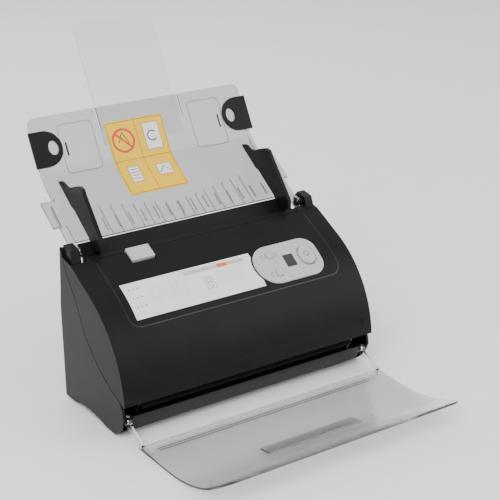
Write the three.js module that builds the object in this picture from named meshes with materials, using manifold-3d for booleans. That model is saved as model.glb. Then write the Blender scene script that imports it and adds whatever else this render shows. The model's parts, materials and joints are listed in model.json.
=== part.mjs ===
// Sheet fed document scanner. Millimetres, +X to the right, front towards -Y, +Z up.
// Side profiles are drawn as (y, z) points and extruded across the width, along X.
// In the drawing frame y = 0 is the foot of the rear wall and z = 0 is the table; at the end the
// whole assembly is moved along Y so that the origin is at the bottom centre of its box.
import * as THREE from 'three';
import { mergeVertices } from 'three/addons/utils/BufferGeometryUtils.js';
import Module from 'manifold-3d';

const wasm = await Module();
wasm.setup();

// ---- driving dimensions -------------------------------------------------------------------
const GAP = 0.3;                 // air between pieces that rest on each other
const RUN = 0.5;                 // running clearance round shafts and sliding pieces
const BODY_WIDTH = 330;
const WALL = 2.5;                // moulded wall
const CHEEK = 3;                 // side panels and cover cheeks
const BODY_HEIGHT = 183;         // top of the rear wall
const BODY_DEPTH = 141;          // rear wall to the front of the cover
const FOOT_DROP = 2;             // rubber feet below the casing
const FOOT_SIZE = 16;
const COVER_SLOPE = 28 * Math.PI / 180;   // flat top of the cover, below horizontal
const COVER_RADIUS = 124;        // round front of the cover
const COVER_MIDDLE = 37;         // height of the round front's centre
const COVER_FOOT = 43;           // height of the cover's bottom edge
const SEAM_Y = -32;              // rear edge of the cover's outer shell
const LIP_Y = -23.5;               // rear edge of the throat lip, behind the seam
const THROAT_HALF = 150;         // half width of the opening for the chute
const PAPER_WIDTH = 244;         // between the side guides, wide open
const PAPER_GAP = 1.4;           // half of the paper path's height
const THROAT_TOP = [-16, 168];   // paper path: where sheets enter
const PATH_BEND = [-70, 94];     // paper path: lowest corner
const PATH_EXIT = [-136, 35];    // paper path: where sheets leave
const SLOT_FLOOR = 28;           // lower edge of the exit slot
const CHUTE_WIDTH = 284;
const CHUTE_SHEET = 2.2;
const CHUTE_FOOT = [0, 180];     // rear face of the sheet, at its foot
const CHUTE_TOP = [107, 297];    // and at its top edge
const CHUTE_UPPER = 62.5 * Math.PI / 180; // slope of the straight upper part
const CHUTE_UPPER_LENGTH = 72;
const CHUTE_BEND_RADIUS = 60;
const EXTENSION_WIDTH = 106;
const EXTENSION_LENGTH = 150;
const EXTENSION_OUT = 104;       // how far it stands out of the chute
const EXTENSION_SHEET = 1.6;
const GUIDE_THICK = 5;
const GUIDE_TRAVEL = 70;
const ROLLER_RADIUS = 9;
const PINCH_RADIUS = 6;
const PINCH_SHAFT = 1.8;
const SHAFT_RADIUS = 3;
const GEAR_MODULE = 1.5;
const GEAR_WIDTH = 6;
const DRIVE_TEETH = 22;
const FEED_TEETH = 26;
const MOTOR_TEETH = 12;
const TRAY_WIDTH = 318;
const TRAY_SHEET = 2.4;
const TRAY_ARM = 4;
const TRAY_PIN = 3;
const TRAY_HINGE = [-131, 22];
const TRAY_FLAT = 62;            // length of tray lying near the table
const TRAY_LIP_RADIUS = 175;
const TRAY_LIP_TURN = 33 * Math.PI / 180;
const STOPPER_WIDTH = 120;
const STOPPER_LENGTH = 18;
const STOPPER_SHEET = 1.6;
const PLASTIC = { rough: 0.55, metal: 0 };

const HALF = BODY_WIDTH / 2;
const INNER = HALF - CHEEK - GAP;          // half width between the side panels
const FRAME_PLATE_X = INNER - 18;          // outer face of the inner frame plates
const CASING_FLOOR = FOOT_DROP;

// ---- helpers ------------------------------------------------------------------------------
const group = new THREE.Group();

function material(colour, roughness = PLASTIC.rough, metalness = PLASTIC.metal, opacity = 1) {
  return new THREE.MeshStandardMaterial({
    color: colour, roughness, metalness, opacity, transparent: opacity < 1,
  });
}

const BLACK = material(0x1c1b1d, 0.45);
const DARK_GREY = material(0x39393b, 0.6);
const SMOKE = material(0xb9b7b6, 0.15, 0, 0.45);
const CLEAR = material(0xe6e8ea, 0.1, 0, 0.35);
const LIGHT_GREY = material(0xd2d0d2, 0.45);
const PANEL_GREY = material(0xcfccc9, 0.4);
const WHITE = material(0xf2f2f2, 0.35);
const YELLOW = material(0xf3d31a, 0.5);
const STEEL = material(0xb6b8bb, 0.3, 1);
const RUBBER = material(0x2a2b2d, 0.85);
const GEAR_WHITE = material(0xe4e0d4, 0.5);
const BOARD = material(0x1e5a34, 0.6);
const GLASS = material(0x2b3436, 0.05, 0, 0.6);

// Side profile (y, z) to a solid between two x values.
function slab(points, x0, x1) {
  const shape = new THREE.Shape(points.map(([y, z]) => new THREE.Vector2(y, z)));
  const geometry = new THREE.ExtrudeGeometry(shape, { depth: x1 - x0, bevelEnabled: false });
  const toWorld = new THREE.Matrix4().set(0, 0, 1, x0, 1, 0, 0, 0, 0, 1, 0, 0, 0, 0, 0, 1);
  return geometry.applyMatrix4(toWorld);
}

// Axis-aligned box from its low and high corners.
function block(low, high) {
  const size = high.map((v, i) => v - low[i]);
  const geometry = new THREE.BoxGeometry(...size);
  return geometry.translate(...low.map((v, i) => v + size[i] / 2));
}

// Round bar along X.
function bar(radius, x0, x1, [y, z], segments = 24) {
  const geometry = new THREE.CylinderGeometry(radius, radius, x1 - x0, segments);
  return geometry.rotateZ(-Math.PI / 2).translate((x0 + x1) / 2, y, z);
}

// Turned piece along X from [x, radius] steps.
function turned(steps, [y, z], segments = 24) {
  const first = steps[0][0];
  const last = steps[steps.length - 1][0];
  const profile = [[first, 0], ...steps, [last, 0]].map(([x, r]) => new THREE.Vector2(r, x));
  const geometry = new THREE.LatheGeometry(profile, segments);
  return geometry.rotateZ(-Math.PI / 2).translate(0, y, z);
}

function toSolid(geometry) {
  const bare = geometry.clone();
  bare.deleteAttribute('normal');
  bare.deleteAttribute('uv');
  const merged = mergeVertices(bare, 1e-4);
  const mesh = new wasm.Mesh({
    numProp: 3,
    vertProperties: new Float32Array(merged.attributes.position.array),
    triVerts: new Uint32Array(merged.index.array),
  });
  return new wasm.Manifold(mesh);
}

function toGeometry(solid) {
  const { vertProperties, triVerts } = solid.getMesh();
  const geometry = new THREE.BufferGeometry();
  geometry.setAttribute('position', new THREE.BufferAttribute(new Float32Array(vertProperties), 3));
  geometry.setIndex(new THREE.BufferAttribute(new Uint32Array(triVerts), 1));
  const flat = geometry.toNonIndexed();
  flat.computeVertexNormals();
  return flat;
}

function join(...pieces) {
  return toGeometry(pieces.map(toSolid).reduce((all, piece) => all.add(piece)));
}

function cut(base, ...tools) {
  return toGeometry(tools.map(toSolid).reduce((rest, tool) => rest.subtract(tool), toSolid(base)));
}

function add(name, geometry, mat) {
  const mesh = new THREE.Mesh(geometry, mat);
  mesh.name = name;
  group.add(mesh);
}

const mirrored = (side, low, high) => (side < 0 ? [-high, -low] : [low, high]);
const unit = ([y, z]) => [y / Math.hypot(y, z), z / Math.hypot(y, z)];
const along = ([y, z], [dy, dz], s) => [y + dy * s, z + dz * s];
const leftOf = ([dy, dz]) => [-dz, dy];
const between = (a, b) => unit([b[0] - a[0], b[1] - a[1]]);

// Rectangle in the side view from a point, along a direction, between two offsets to its left.
function strip(start, direction, length, low, high) {
  const n = leftOf(direction);
  const end = along(start, direction, length);
  return [along(start, n, low), along(end, n, low), along(end, n, high), along(start, n, high)];
}

// Places a solid drawn with x across, y along a side-view direction and z to its left.
function ontoSide(geometry, [y, z], direction) {
  const n = leftOf(direction);
  return geometry.applyMatrix4(new THREE.Matrix4().set(
    1, 0, 0, 0, 0, direction[0], n[0], y, 0, direction[1], n[1], z, 0, 0, 0, 1));
}

// ---- main lines of the side view -----------------------------------------------------------
const coverSlopeDir = [-Math.cos(COVER_SLOPE), -Math.sin(COVER_SLOPE)];
const arcStart = [
  -BODY_DEPTH + COVER_RADIUS * (1 - Math.sin(COVER_SLOPE)),
  COVER_MIDDLE + COVER_RADIUS * Math.cos(COVER_SLOPE),
];
const seamTop = [SEAM_Y, arcStart[1] + (SEAM_Y - arcStart[0]) * Math.tan(COVER_SLOPE)];

// Cover front, from the seam down to the bottom edge, moved inwards by an offset.
function coverLine(offset, steps = 14) {
  const centre = [-BODY_DEPTH + COVER_RADIUS, COVER_MIDDLE];
  const line = [[SEAM_Y, seamTop[1] - offset / Math.cos(COVER_SLOPE)]];
  const from = Math.PI / 2 + COVER_SLOPE;
  const r = COVER_RADIUS - offset;
  const to = Math.PI - Math.asin((COVER_FOOT - COVER_MIDDLE) / r);
  for (let i = 0; i <= steps; i += 1) {
    const angle = from + (to - from) * (i / steps);
    line.push([centre[0] + r * Math.cos(angle), centre[1] + r * Math.sin(angle)]);
  }
  return line;
}

// Point over the cover's outer surface: d down from the seam along it, lift outwards from it.
const flatLength = (SEAM_Y - arcStart[0]) / Math.cos(COVER_SLOPE);
function coverAt(d, lift) {
  const outward = leftOf(coverSlopeDir).map((v) => -v);
  if (d <= flatLength) return along(along(seamTop, coverSlopeDir, d), outward, lift);
  const angle = Math.PI / 2 + COVER_SLOPE + (d - flatLength) / COVER_RADIUS;
  const r = COVER_RADIUS + lift;
  return [-BODY_DEPTH + COVER_RADIUS + r * Math.cos(angle), COVER_MIDDLE + r * Math.sin(angle)];
}

// Direction down the cover's surface at distance d from the seam.
function coverDown(d) {
  const turn = Math.max(0, d - flatLength) / COVER_RADIUS;
  return [-Math.cos(COVER_SLOPE + turn), -Math.sin(COVER_SLOPE + turn)];
}

const feedDir = between(PATH_BEND, THROAT_TOP);      // up the feed slope
const exitDir = between(PATH_BEND, PATH_EXIT);       // down to the exit
const feedLength = Math.hypot(THROAT_TOP[0] - PATH_BEND[0], THROAT_TOP[1] - PATH_BEND[1]);
const exitLength = Math.hypot(PATH_EXIT[0] - PATH_BEND[0], PATH_EXIT[1] - PATH_BEND[1]);
const frontSide = leftOf(feedDir);                   // from the bed towards the cover
const bedAt = (s, lift = 0) => along(along(PATH_BEND, feedDir, s), frontSide, lift);
const exitFrontSide = leftOf(exitDir).map((v) => -v);
const exitAt = (s, lift = 0) => along(along(PATH_BEND, exitDir, s), exitFrontSide, lift);

// Corner of two lines parallel to the path, both moved by the same lift.
function pathCorner(lift) {
  const a = bedAt(0, lift);
  const b = exitAt(0, lift);
  const det = feedDir[0] * exitDir[1] - feedDir[1] * exitDir[0];
  const s = ((b[0] - a[0]) * exitDir[1] - (b[1] - a[1]) * exitDir[0]) / det;
  return along(a, feedDir, s);
}

// ---- casing --------------------------------------------------------------------------------
const rearTop = [-8, BODY_HEIGHT];
const PARTING_GAP = 0.8;
const TOP_PROUD = 1.2;           // casing stands this far over the cover at the seam
const topFront = [SEAM_Y + PARTING_GAP, seamTop[1] + TOP_PROUD];
// Rear edge of the cover's cheeks, from the top down to the exit slot.
const PARTING = [[-14, 173], [-22, 156], [-40, 131], [-59, 94], [-86, 69], [-112, 53.5], [-131, 46]];
const REAR_LINE = [[-1, 112], [-4, 135]];  // rear wall below its top

// Underside from front to back, arched up between the front and rear feet.
const FLOOR_LINE = [[-96, CASING_FLOOR], [-82, 5], [-60, 7], [-38, 6], [-22, CASING_FLOOR]];
// Front edge below the exit slot, sloping back to the underside.
const TOE_LINE = [[-136, SLOT_FLOOR], [-128, 11], [-116, CASING_FLOOR]];

function bodyOutline() {
  return [
    [-11.5, 179], ...PARTING.map(([y, z]) => [y + PARTING_GAP, z - PARTING_GAP]), [-134.5, 36], ...TOE_LINE,
    ...FLOOR_LINE, [0, CASING_FLOOR], ...REAR_LINE, rearTop,
  ];
}

const CHUTE_PIVOT = [-15, BODY_HEIGHT - 9];
const PIN_RADIUS = 3;
const COVER_PIVOT = [-134, 48];
const COVER_PIN_RADIUS = 1.8;
const COVER_EAR_RADIUS = 3.8;

function sidePanel(side) {
  const [x0, x1] = mirrored(side, INNER + GAP, HALF);
  const trayPin = bar(TRAY_PIN, ...mirrored(side, TRAY_WIDTH / 2 - TRAY_ARM, INNER + 1), TRAY_HINGE, 20);
  return join(slab(bodyOutline(), x0, x1), trayPin);
}

const JACK = { x: -112, z: 40, r: 4 };
const USB = { x: -84, z: 40, w: 13, h: 12 };
const SWITCH = { x: -138, z: 42, w: 14, h: 22 };
const WALL_ROOM = 0.4;

function rearSocketHole(socket) {
  return block([socket.x - socket.w / 2 - WALL_ROOM, -10, socket.z - socket.h / 2 - WALL_ROOM],
    [socket.x + socket.w / 2 + WALL_ROOM, 5, socket.z + socket.h / 2 + WALL_ROOM]);
}

const THROAT_WALL = 166;         // top of the rear wall behind the paper bed
const VENT = { count: 8, x: 20, pitch: 12, width: 4, z0: 60, z1: 96 };

function rearCover() {
  const outer = [[-1, CASING_FLOOR + 2.5 + GAP], ...REAR_LINE, [rearTop[0], BODY_HEIGHT - GAP]];
  const inner = outer.map(([y, z]) => [y - WALL, z]).reverse();
  const shell = slab([...outer, ...inner], -INNER, INNER);
  const throat = block([-THROAT_HALF, -40, THROAT_WALL], [THROAT_HALF, 5, BODY_HEIGHT + 5]);
  const armNotches = [-1, 1].map((side) => {
    const [a, b] = mirrored(side, ARM_X - 8, THROAT_HALF);
    return block([a, -40, THROAT_WALL - 10], [b, 5, BODY_HEIGHT]);
  });
  const jackHole = new THREE.CylinderGeometry(JACK.r + WALL_ROOM, JACK.r + WALL_ROOM, 20, 24);
  const vents = [];
  for (let i = 0; i < VENT.count; i += 1) {
    const x = VENT.x + i * VENT.pitch;
    vents.push(block([x, -12, VENT.z0], [x + VENT.width, 5, VENT.z1]));
  }
  return cut(shell, throat, ...armNotches, jackHole.translate(JACK.x, 0, JACK.z), rearSocketHole(USB), rearSocketHole(SWITCH), ...vents);
}

// Black block in each top rear corner that carries the chute's pivot pin.
function hingeBlock(side) {
  const [x0, x1] = mirrored(side, THROAT_HALF + GAP, INNER);
  const back = rearTop[0] - WALL - GAP;
  const front = topFront[0];
  const outline = [[back, BODY_HEIGHT + 3], [front + 5, BODY_HEIGHT], [front, topFront[1]], [front, 158], [back, 150]];
  return join(slab(outline, x0, x1), bar(PIN_RADIUS, ...mirrored(side, ARM_X - 1, THROAT_HALF + 2), CHUTE_PIVOT, 20));
}

function basePlate() {
  const under = [TOE_LINE[2], ...FLOOR_LINE, [-4, CASING_FLOOR]];
  const upper = under.map(([y, z]) => [y, z + WALL]).reverse();
  return slab([...under, ...upper], -INNER, INNER);
}

function frontSkirt() {
  const outer = [[TOE_LINE[2][0] - GAP, CASING_FLOOR], TOE_LINE[1], TOE_LINE[0]];
  const inner = [[TOE_LINE[0][0] + 3, SLOT_FLOOR], [TOE_LINE[1][0] + 2, TOE_LINE[1][1] + 2],
    [TOE_LINE[2][0] - GAP, CASING_FLOOR + 2.8]];
  const x1 = TRAY_WIDTH / 2 - TRAY_ARM - 1.5;
  return slab([...outer, ...inner], -x1, x1);
}

// ---- paper path, casing side ----------------------------------------------------------------
const BED_PLATE = 3;
const BED_LOW = 42;              // bed starts this far up the feed slope
const BED_HIGH = feedLength - 3;
const RACK_S = 66;               // racks run this far up the feed slope
const RACK_DEPTH = 6;
const ARM_HALF = 2;
const PINION_TEETH = 14;
const RACK_BACK = 4;             // solid width behind the rack's teeth
const TOOTH_ROOT = 1.15;         // tooth depth below and above the pitch line, in modules
const TOOTH_TIP = 0.85;
const armPlace = (side) => RACK_S - side * (GEAR_MODULE * (PINION_TEETH / 2 + TOOTH_ROOT) + RACK_BACK / 2);

const BED_LIP_END = [-2.2, 179.8];   // top edge of the bed, just in front of the chute's foot

function paperBed() {
  const top = bedAt(BED_HIGH, -PAPER_GAP);
  const back = leftOf(between(top, BED_LIP_END)).map((v) => -v * BED_PLATE);
  const outline = [
    bedAt(BED_LOW, -PAPER_GAP - BED_PLATE), bedAt(BED_HIGH, -PAPER_GAP - BED_PLATE),
    [BED_LIP_END[0] + back[0], BED_LIP_END[1] + back[1]], BED_LIP_END, top, bedAt(BED_LOW, -PAPER_GAP),
  ];
  const plate = slab(outline, -FRAME_PLATE_X + 3 + GAP, FRAME_PLATE_X - 3 - GAP);
  const slots = [-1, 1].map((side) => {
    const [a, b] = mirrored(side, PAPER_WIDTH / 2 + GUIDE_THICK - GUIDE_TRAVEL - 6, PAPER_WIDTH / 2 + GUIDE_THICK + 3);
    return slab(strip(bedAt(armPlace(side) - ARM_HALF - RUN, -12), feedDir, 2 * (ARM_HALF + RUN), 0, 14), a, b);
  });
  return cut(plate, ...slots);
}

const ROLLER_DRIVE_S = 18;       // first driven roller, along the exit slope
const ROLLER_EXIT_S = exitLength - 30;
const ROLLER_FEED_S = 24;        // feed roller, up the feed slope
const NIP = 0.25;                // driven roller stands this far through the guide
const feedRollerAt = bedAt(ROLLER_FEED_S, -ROLLER_RADIUS + NIP);
const driveRollerAt = exitAt(ROLLER_DRIVE_S, -ROLLER_RADIUS + NIP);
const exitRollerAt = exitAt(ROLLER_EXIT_S, -ROLLER_RADIUS + NIP);
const SENSOR_S = 38;             // image sensors, along the exit slope
const SENSOR_LENGTH = 228;
const SENSOR_WIDTH = 12;
const SENSOR_DEPTH = 12;
const PINCH_TRACKS = [-62, 62];  // middle of each rubber tyre
const TYRE_HALF = 16;

function rollerWindows(centre, radius) {
  return PINCH_TRACKS.map((x) => bar(radius + RUN + 0.3, x - TYRE_HALF - 1, x + TYRE_HALF + 1, centre));
}

// Guide plate round the bend of the path, on one side of it (sign -1 below, +1 above).
function guidePlate(sign, from, to) {
  const a = sign * PAPER_GAP;
  const b = sign * (PAPER_GAP + BED_PLATE);
  return [bedAt(from, a), pathCorner(a), exitAt(to, a), exitAt(to, b), pathCorner(b), bedAt(from, b)];
}

function sensorPocket(sign) {
  const low = sign > 0 ? PAPER_GAP - 1 : -PAPER_GAP - SENSOR_DEPTH - GAP;
  const high = sign > 0 ? PAPER_GAP + SENSOR_DEPTH + GAP : -PAPER_GAP + 1;
  return [
    exitAt(SENSOR_S - SENSOR_WIDTH / 2 - GAP, low), exitAt(SENSOR_S + SENSOR_WIDTH / 2 + GAP, low),
    exitAt(SENSOR_S + SENSOR_WIDTH / 2 + GAP, high), exitAt(SENSOR_S - SENSOR_WIDTH / 2 - GAP, high),
  ];
}

function lowerGuide() {
  const x1 = FRAME_PLATE_X - 3 - GAP;
  const plate = slab(guidePlate(-1, BED_LOW - GAP, exitLength), -x1, x1);
  const half = SENSOR_LENGTH / 2 + GAP;
  return cut(plate, slab(sensorPocket(-1), -half, half), ...rollerWindows(feedRollerAt, ROLLER_RADIUS),
    ...rollerWindows(driveRollerAt, ROLLER_RADIUS), ...rollerWindows(exitRollerAt, ROLLER_RADIUS));
}

const GLASS_THICK = 1.2;

function sensorBody(sign) {
  const near = PAPER_GAP + GLASS_THICK + GAP;
  const far = PAPER_GAP + SENSOR_DEPTH;
  const [low, high] = sign > 0 ? [near, far] : [-far, -near];
  const outline = [
    exitAt(SENSOR_S - SENSOR_WIDTH / 2, low), exitAt(SENSOR_S + SENSOR_WIDTH / 2, low),
    exitAt(SENSOR_S + SENSOR_WIDTH / 2, high), exitAt(SENSOR_S - SENSOR_WIDTH / 2, high),
  ];
  return slab(outline, -SENSOR_LENGTH / 2, SENSOR_LENGTH / 2);
}

function sensorGlass(sign) {
  const [low, high] = sign > 0 ? [PAPER_GAP, PAPER_GAP + GLASS_THICK] : [-PAPER_GAP - GLASS_THICK, -PAPER_GAP];
  const outline = [
    exitAt(SENSOR_S - SENSOR_WIDTH / 2, low), exitAt(SENSOR_S + SENSOR_WIDTH / 2, low),
    exitAt(SENSOR_S + SENSOR_WIDTH / 2, high), exitAt(SENSOR_S - SENSOR_WIDTH / 2, high),
  ];
  return slab(outline, -SENSOR_LENGTH / 2, SENSOR_LENGTH / 2);
}

// Rubber tyred roller: both tyres and the shaft turn as one piece.
function roller(centre, radius, shaft, left, right) {
  const steps = [[left, shaft]];
  for (const x of PINCH_TRACKS) {
    steps.push([x - TYRE_HALF, shaft], [x - TYRE_HALF, radius], [x + TYRE_HALF, radius], [x + TYRE_HALF, shaft]);
  }
  steps.push([right, shaft]);
  return turned(steps, centre, 28);
}

const drivenRoller = (at) => roller(at, ROLLER_RADIUS, SHAFT_RADIUS, -FRAME_PLATE_X - 1, FRAME_PLATE_X + 3 - GAP);

// ---- drive ---------------------------------------------------------------------------------
const GEAR_X0 = FRAME_PLATE_X + 3;
const GEAR_X1 = GEAR_X0 + GEAR_WIDTH;
const pitch = (teeth) => GEAR_MODULE * teeth / 2;

function gear(teeth, [y, z], phase, bore = 0) {
  const root = pitch(teeth) - GEAR_MODULE * TOOTH_ROOT;
  const tip = pitch(teeth) + GEAR_MODULE * TOOTH_TIP;
  const step = 2 * Math.PI / teeth;
  const points = [];
  for (let i = 0; i < teeth; i += 1) {
    const middle = phase + i * step;
    for (const [share, r] of [[-0.28, root], [-0.1, tip], [0.1, tip], [0.28, root]]) {
      points.push([y + r * Math.cos(middle + share * step), z + r * Math.sin(middle + share * step)]);
    }
  }
  const disc = slab(points, GEAR_X0, GEAR_X1);
  return bore ? cut(disc, bar(bore, GEAR_X0 - 1, GEAR_X1 + 1, [y, z])) : disc;
}

// Phase that puts gear B in mesh with gear A.
function meshPhase(a, b) {
  const line = Math.atan2(b.at[1] - a.at[1], b.at[0] - a.at[0]);
  const teethToLine = (line - a.phase) * a.teeth / (2 * Math.PI);
  return line + Math.PI - (0.5 - teethToLine) * 2 * Math.PI / b.teeth;
}

// Centre of an idler that meshes with two gears, on the right of the line from A to B.
function idlerCentre(a, b, teeth) {
  const ra = pitch(a.teeth + teeth);
  const rb = pitch(b.teeth + teeth);
  const d = Math.hypot(b.at[0] - a.at[0], b.at[1] - a.at[1]);
  const x = (d * d + ra * ra - rb * rb) / (2 * d);
  const h = Math.sqrt(ra * ra - x * x);
  const dir = between(a.at, b.at);
  return along(along(a.at, dir, x), leftOf(dir), -h);
}

const exitGear = { teeth: DRIVE_TEETH, at: exitRollerAt, phase: 0 };
const driveGear = { teeth: DRIVE_TEETH, at: driveRollerAt, phase: 0 };
const feedGear = { teeth: FEED_TEETH, at: feedRollerAt, phase: 0 };
const IDLER_TEETH = 20;
const LONG_IDLER_TEETH = 24;
const exitIdler = { teeth: IDLER_TEETH, at: idlerCentre(exitGear, driveGear, IDLER_TEETH) };
exitIdler.phase = meshPhase(exitGear, exitIdler);
driveGear.phase = meshPhase(exitIdler, driveGear);
const feedIdler = { teeth: LONG_IDLER_TEETH, at: idlerCentre(driveGear, feedGear, LONG_IDLER_TEETH) };
feedIdler.phase = meshPhase(driveGear, feedIdler);
feedGear.phase = meshPhase(feedIdler, feedGear);
const MOTOR_LINE = -70 * Math.PI / 180;
const motorReach = pitch(MOTOR_TEETH + LONG_IDLER_TEETH);
const motorGear = {
  teeth: MOTOR_TEETH,
  at: [feedIdler.at[0] + motorReach * Math.cos(MOTOR_LINE), feedIdler.at[1] + motorReach * Math.sin(MOTOR_LINE)],
};
motorGear.phase = meshPhase(feedIdler, motorGear);

const MOTOR_RADIUS = 17;
const MOTOR_LENGTH = 34;
const STUB_RADIUS = 2.5;

function framePlate(side) {
  const [x0, x1] = mirrored(side, FRAME_PLATE_X - 3, FRAME_PLATE_X);
  const outline = [
    bedAt(BED_LOW + 12, -1), pathCorner(-1), exitAt(exitLength - 14, -1),
    [COVER_PIVOT[0] + 2, COVER_PIVOT[1] + COVER_EAR_RADIUS - 1], [COVER_PIVOT[0] - 1, COVER_PIVOT[1] - COVER_EAR_RADIUS + 0.5],
    [-124, 24], [-116, 9.8], [-20, 9.8], [-8, 20], [-8, 110], [-22, 140],
  ];
  const holes = [feedRollerAt, driveRollerAt, exitRollerAt].map((at) => bar(SHAFT_RADIUS + RUN, x0 - 1, x1 + 1, at));
  const motorHole = side > 0 ? [bar(SHAFT_RADIUS + RUN, x0 - 1, x1 + 1, motorGear.at)] : [];
  const ear = bar(COVER_EAR_RADIUS, x0, x1, COVER_PIVOT);
  const pinHole = bar(COVER_PIN_RADIUS + GAP, x0 - 1, x1 + 1, COVER_PIVOT);
  const plate = cut(join(slab(outline, x0, x1), ear), ...holes, ...motorHole, pinHole);
  if (side < 0) return plate;
  const stubs = [exitIdler, feedIdler].map((g) => bar(STUB_RADIUS, x1 - 1, GEAR_X1 + 1.5, g.at, 20));
  return join(plate, ...stubs);
}

function shaftGear(g) {
  return gear(g.teeth, g.at, g.phase);
}

function idler(g) {
  return gear(g.teeth, g.at, g.phase, STUB_RADIUS + RUN);
}

function motor() {
  const x1 = FRAME_PLATE_X - 3 - GAP;
  const can = bar(MOTOR_RADIUS, x1 - MOTOR_LENGTH, x1, motorGear.at, 28);
  return can;
}

function motorPinion() {
  const spindle = bar(SHAFT_RADIUS, FRAME_PLATE_X - 3 + GAP, GEAR_X0 + 1, motorGear.at, 20);
  return join(gear(MOTOR_TEETH, motorGear.at, motorGear.phase), spindle);
}

// ---- electronics and rear sockets -------------------------------------------------------------
function mainBoard() {
  const board = block([-130, -9, 56], [-10, -7.4, 108]);
  const chips = [block([-96, -14, 70], [-70, -8.5, 92]), block([-60, -12, 66], [-44, -8.5, 80]), block([-36, -15, 84], [-18, -8.5, 96])];
  return join(board, ...chips);
}

function powerJack() {
  const barrel = new THREE.CylinderGeometry(JACK.r, JACK.r, 12, 24).translate(JACK.x, -8, JACK.z);
  const housing = block([JACK.x - 6, -18, JACK.z - 6], [JACK.x + 6, -5, JACK.z + 6]);
  const bore = new THREE.CylinderGeometry(2.8, 2.8, 10, 20).translate(JACK.x, -4.5, JACK.z);
  return cut(join(housing, barrel), bore);
}

function usbPort() {
  const shell = block([USB.x - USB.w / 2, -18, USB.z - USB.h / 2], [USB.x + USB.w / 2, -1.6, USB.z + USB.h / 2]);
  const mouth = block([USB.x - USB.w / 2 + 1.5, -12, USB.z - USB.h / 2 + 1.5],
    [USB.x + USB.w / 2 - 1.5, 0, USB.z + USB.h / 2 - 1.5]);
  const tongue = block([USB.x - 2.5, -13, USB.z - 1.6], [USB.x + 2.5, -3, USB.z + 1.6]);
  return join(cut(shell, mouth), tongue);
}

const ROCKER_LENGTH = SWITCH.h - 4;
function switchRocker() {
  const half = ROCKER_LENGTH / 2;
  const z = SWITCH.z;
  const profile = [[-6, z - half], [-6, z + half], [0.6, z + half], [-0.6, z], [-1.6, z - half]];
  return slab(profile, SWITCH.x - SWITCH.w / 2 + 2, SWITCH.x + SWITCH.w / 2 - 2);
}

// ---- chute ---------------------------------------------------------------------------------
const upperDir = [Math.cos(CHUTE_UPPER), Math.sin(CHUTE_UPPER)];
const chuteCorner = along(CHUTE_TOP, upperDir, -CHUTE_UPPER_LENGTH);
const lowerDir = between(CHUTE_FOOT, chuteCorner);
const CHUTE_LOWER = Math.atan2(lowerDir[1], lowerDir[0]);
const bendTurn = CHUTE_UPPER - CHUTE_LOWER;
const bendTangent = CHUTE_BEND_RADIUS * Math.tan(bendTurn / 2);
const lowerLength = Math.hypot(chuteCorner[0] - CHUTE_FOOT[0], chuteCorner[1] - CHUTE_FOOT[1]) - bendTangent;
const bendLength = CHUTE_BEND_RADIUS * bendTurn;
const chuteLength = lowerLength + bendLength + CHUTE_UPPER_LENGTH - bendTangent;

// Direction up the sheet at distance s from its foot.
function chuteDirection(s) {
  const turn = Math.min(1, Math.max(0, (s - lowerLength) / bendLength)) * bendTurn;
  return [Math.cos(CHUTE_LOWER + turn), Math.sin(CHUTE_LOWER + turn)];
}

// Point on the sheet's rear face: s along the sheet from its foot, lift towards the paper side.
function chuteAt(s, lift = 0) {
  const n = leftOf(chuteDirection(s));
  if (s <= lowerLength) return along(along(CHUTE_FOOT, lowerDir, s), n, lift);
  if (s >= lowerLength + bendLength) return along(along(CHUTE_TOP, upperDir, s - chuteLength), n, lift);
  const centre = along(along(CHUTE_FOOT, lowerDir, lowerLength), leftOf(lowerDir), CHUTE_BEND_RADIUS);
  return along(centre, n, lift - CHUTE_BEND_RADIUS);
}

function chuteBand(s0, s1, low, high, steps) {
  const lower = [];
  const upper = [];
  for (let i = 0; i <= steps; i += 1) {
    const s = s0 + (s1 - s0) * (i / steps);
    lower.push(chuteAt(s, low));
    upper.push(chuteAt(s, high));
  }
  return [...lower, ...upper.reverse()];
}

const RIB = { count: 15, pitch: 13.5, width: 1.2, height: 2.2, longest: 40, shortest: 24 };
const ARM_THICK = 4;
const ARM_X = CHUTE_WIDTH / 2 + 3.5;
const ARM_REACH = 40;            // how far up the sheet the side arms run

const WING = { x: 158, s0: 24, s1: 60 };  // side wing of the sheet over each arm

function chuteArm(side) {
  const [x0, x1] = mirrored(side, ARM_X, ARM_X + ARM_THICK);
  const ring = 7;
  const [py, pz] = CHUTE_PIVOT;
  const outline = [
    [py - ring, pz], [py - ring * 0.7, pz - ring * 0.7], [py, pz - ring], [py + ring * 0.8, pz - ring * 0.6],
    chuteAt(ARM_REACH * 0.4, -3), chuteAt(ARM_REACH + 14, 0), chuteAt(ARM_REACH + 10, 6), chuteAt(8, 6),
    [py + ring * 0.9, pz + ring], [py - ring * 0.5, pz + ring * 0.9],
  ];
  const plate = slab(outline, x0, x1);
  const wing = slab(chuteBand(WING.s0, WING.s1, 0, CHUTE_SHEET, 1), ...mirrored(side, CHUTE_WIDTH / 2 - 2, WING.x));
  return cut(join(plate, wing), bar(PIN_RADIUS + RUN, x0 - 1, x1 + 1, CHUTE_PIVOT));
}

const SLIT = { x: 54, width: 2.4, length: 26 };
const EDGE_BAR = { width: 3, height: 5 };

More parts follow.
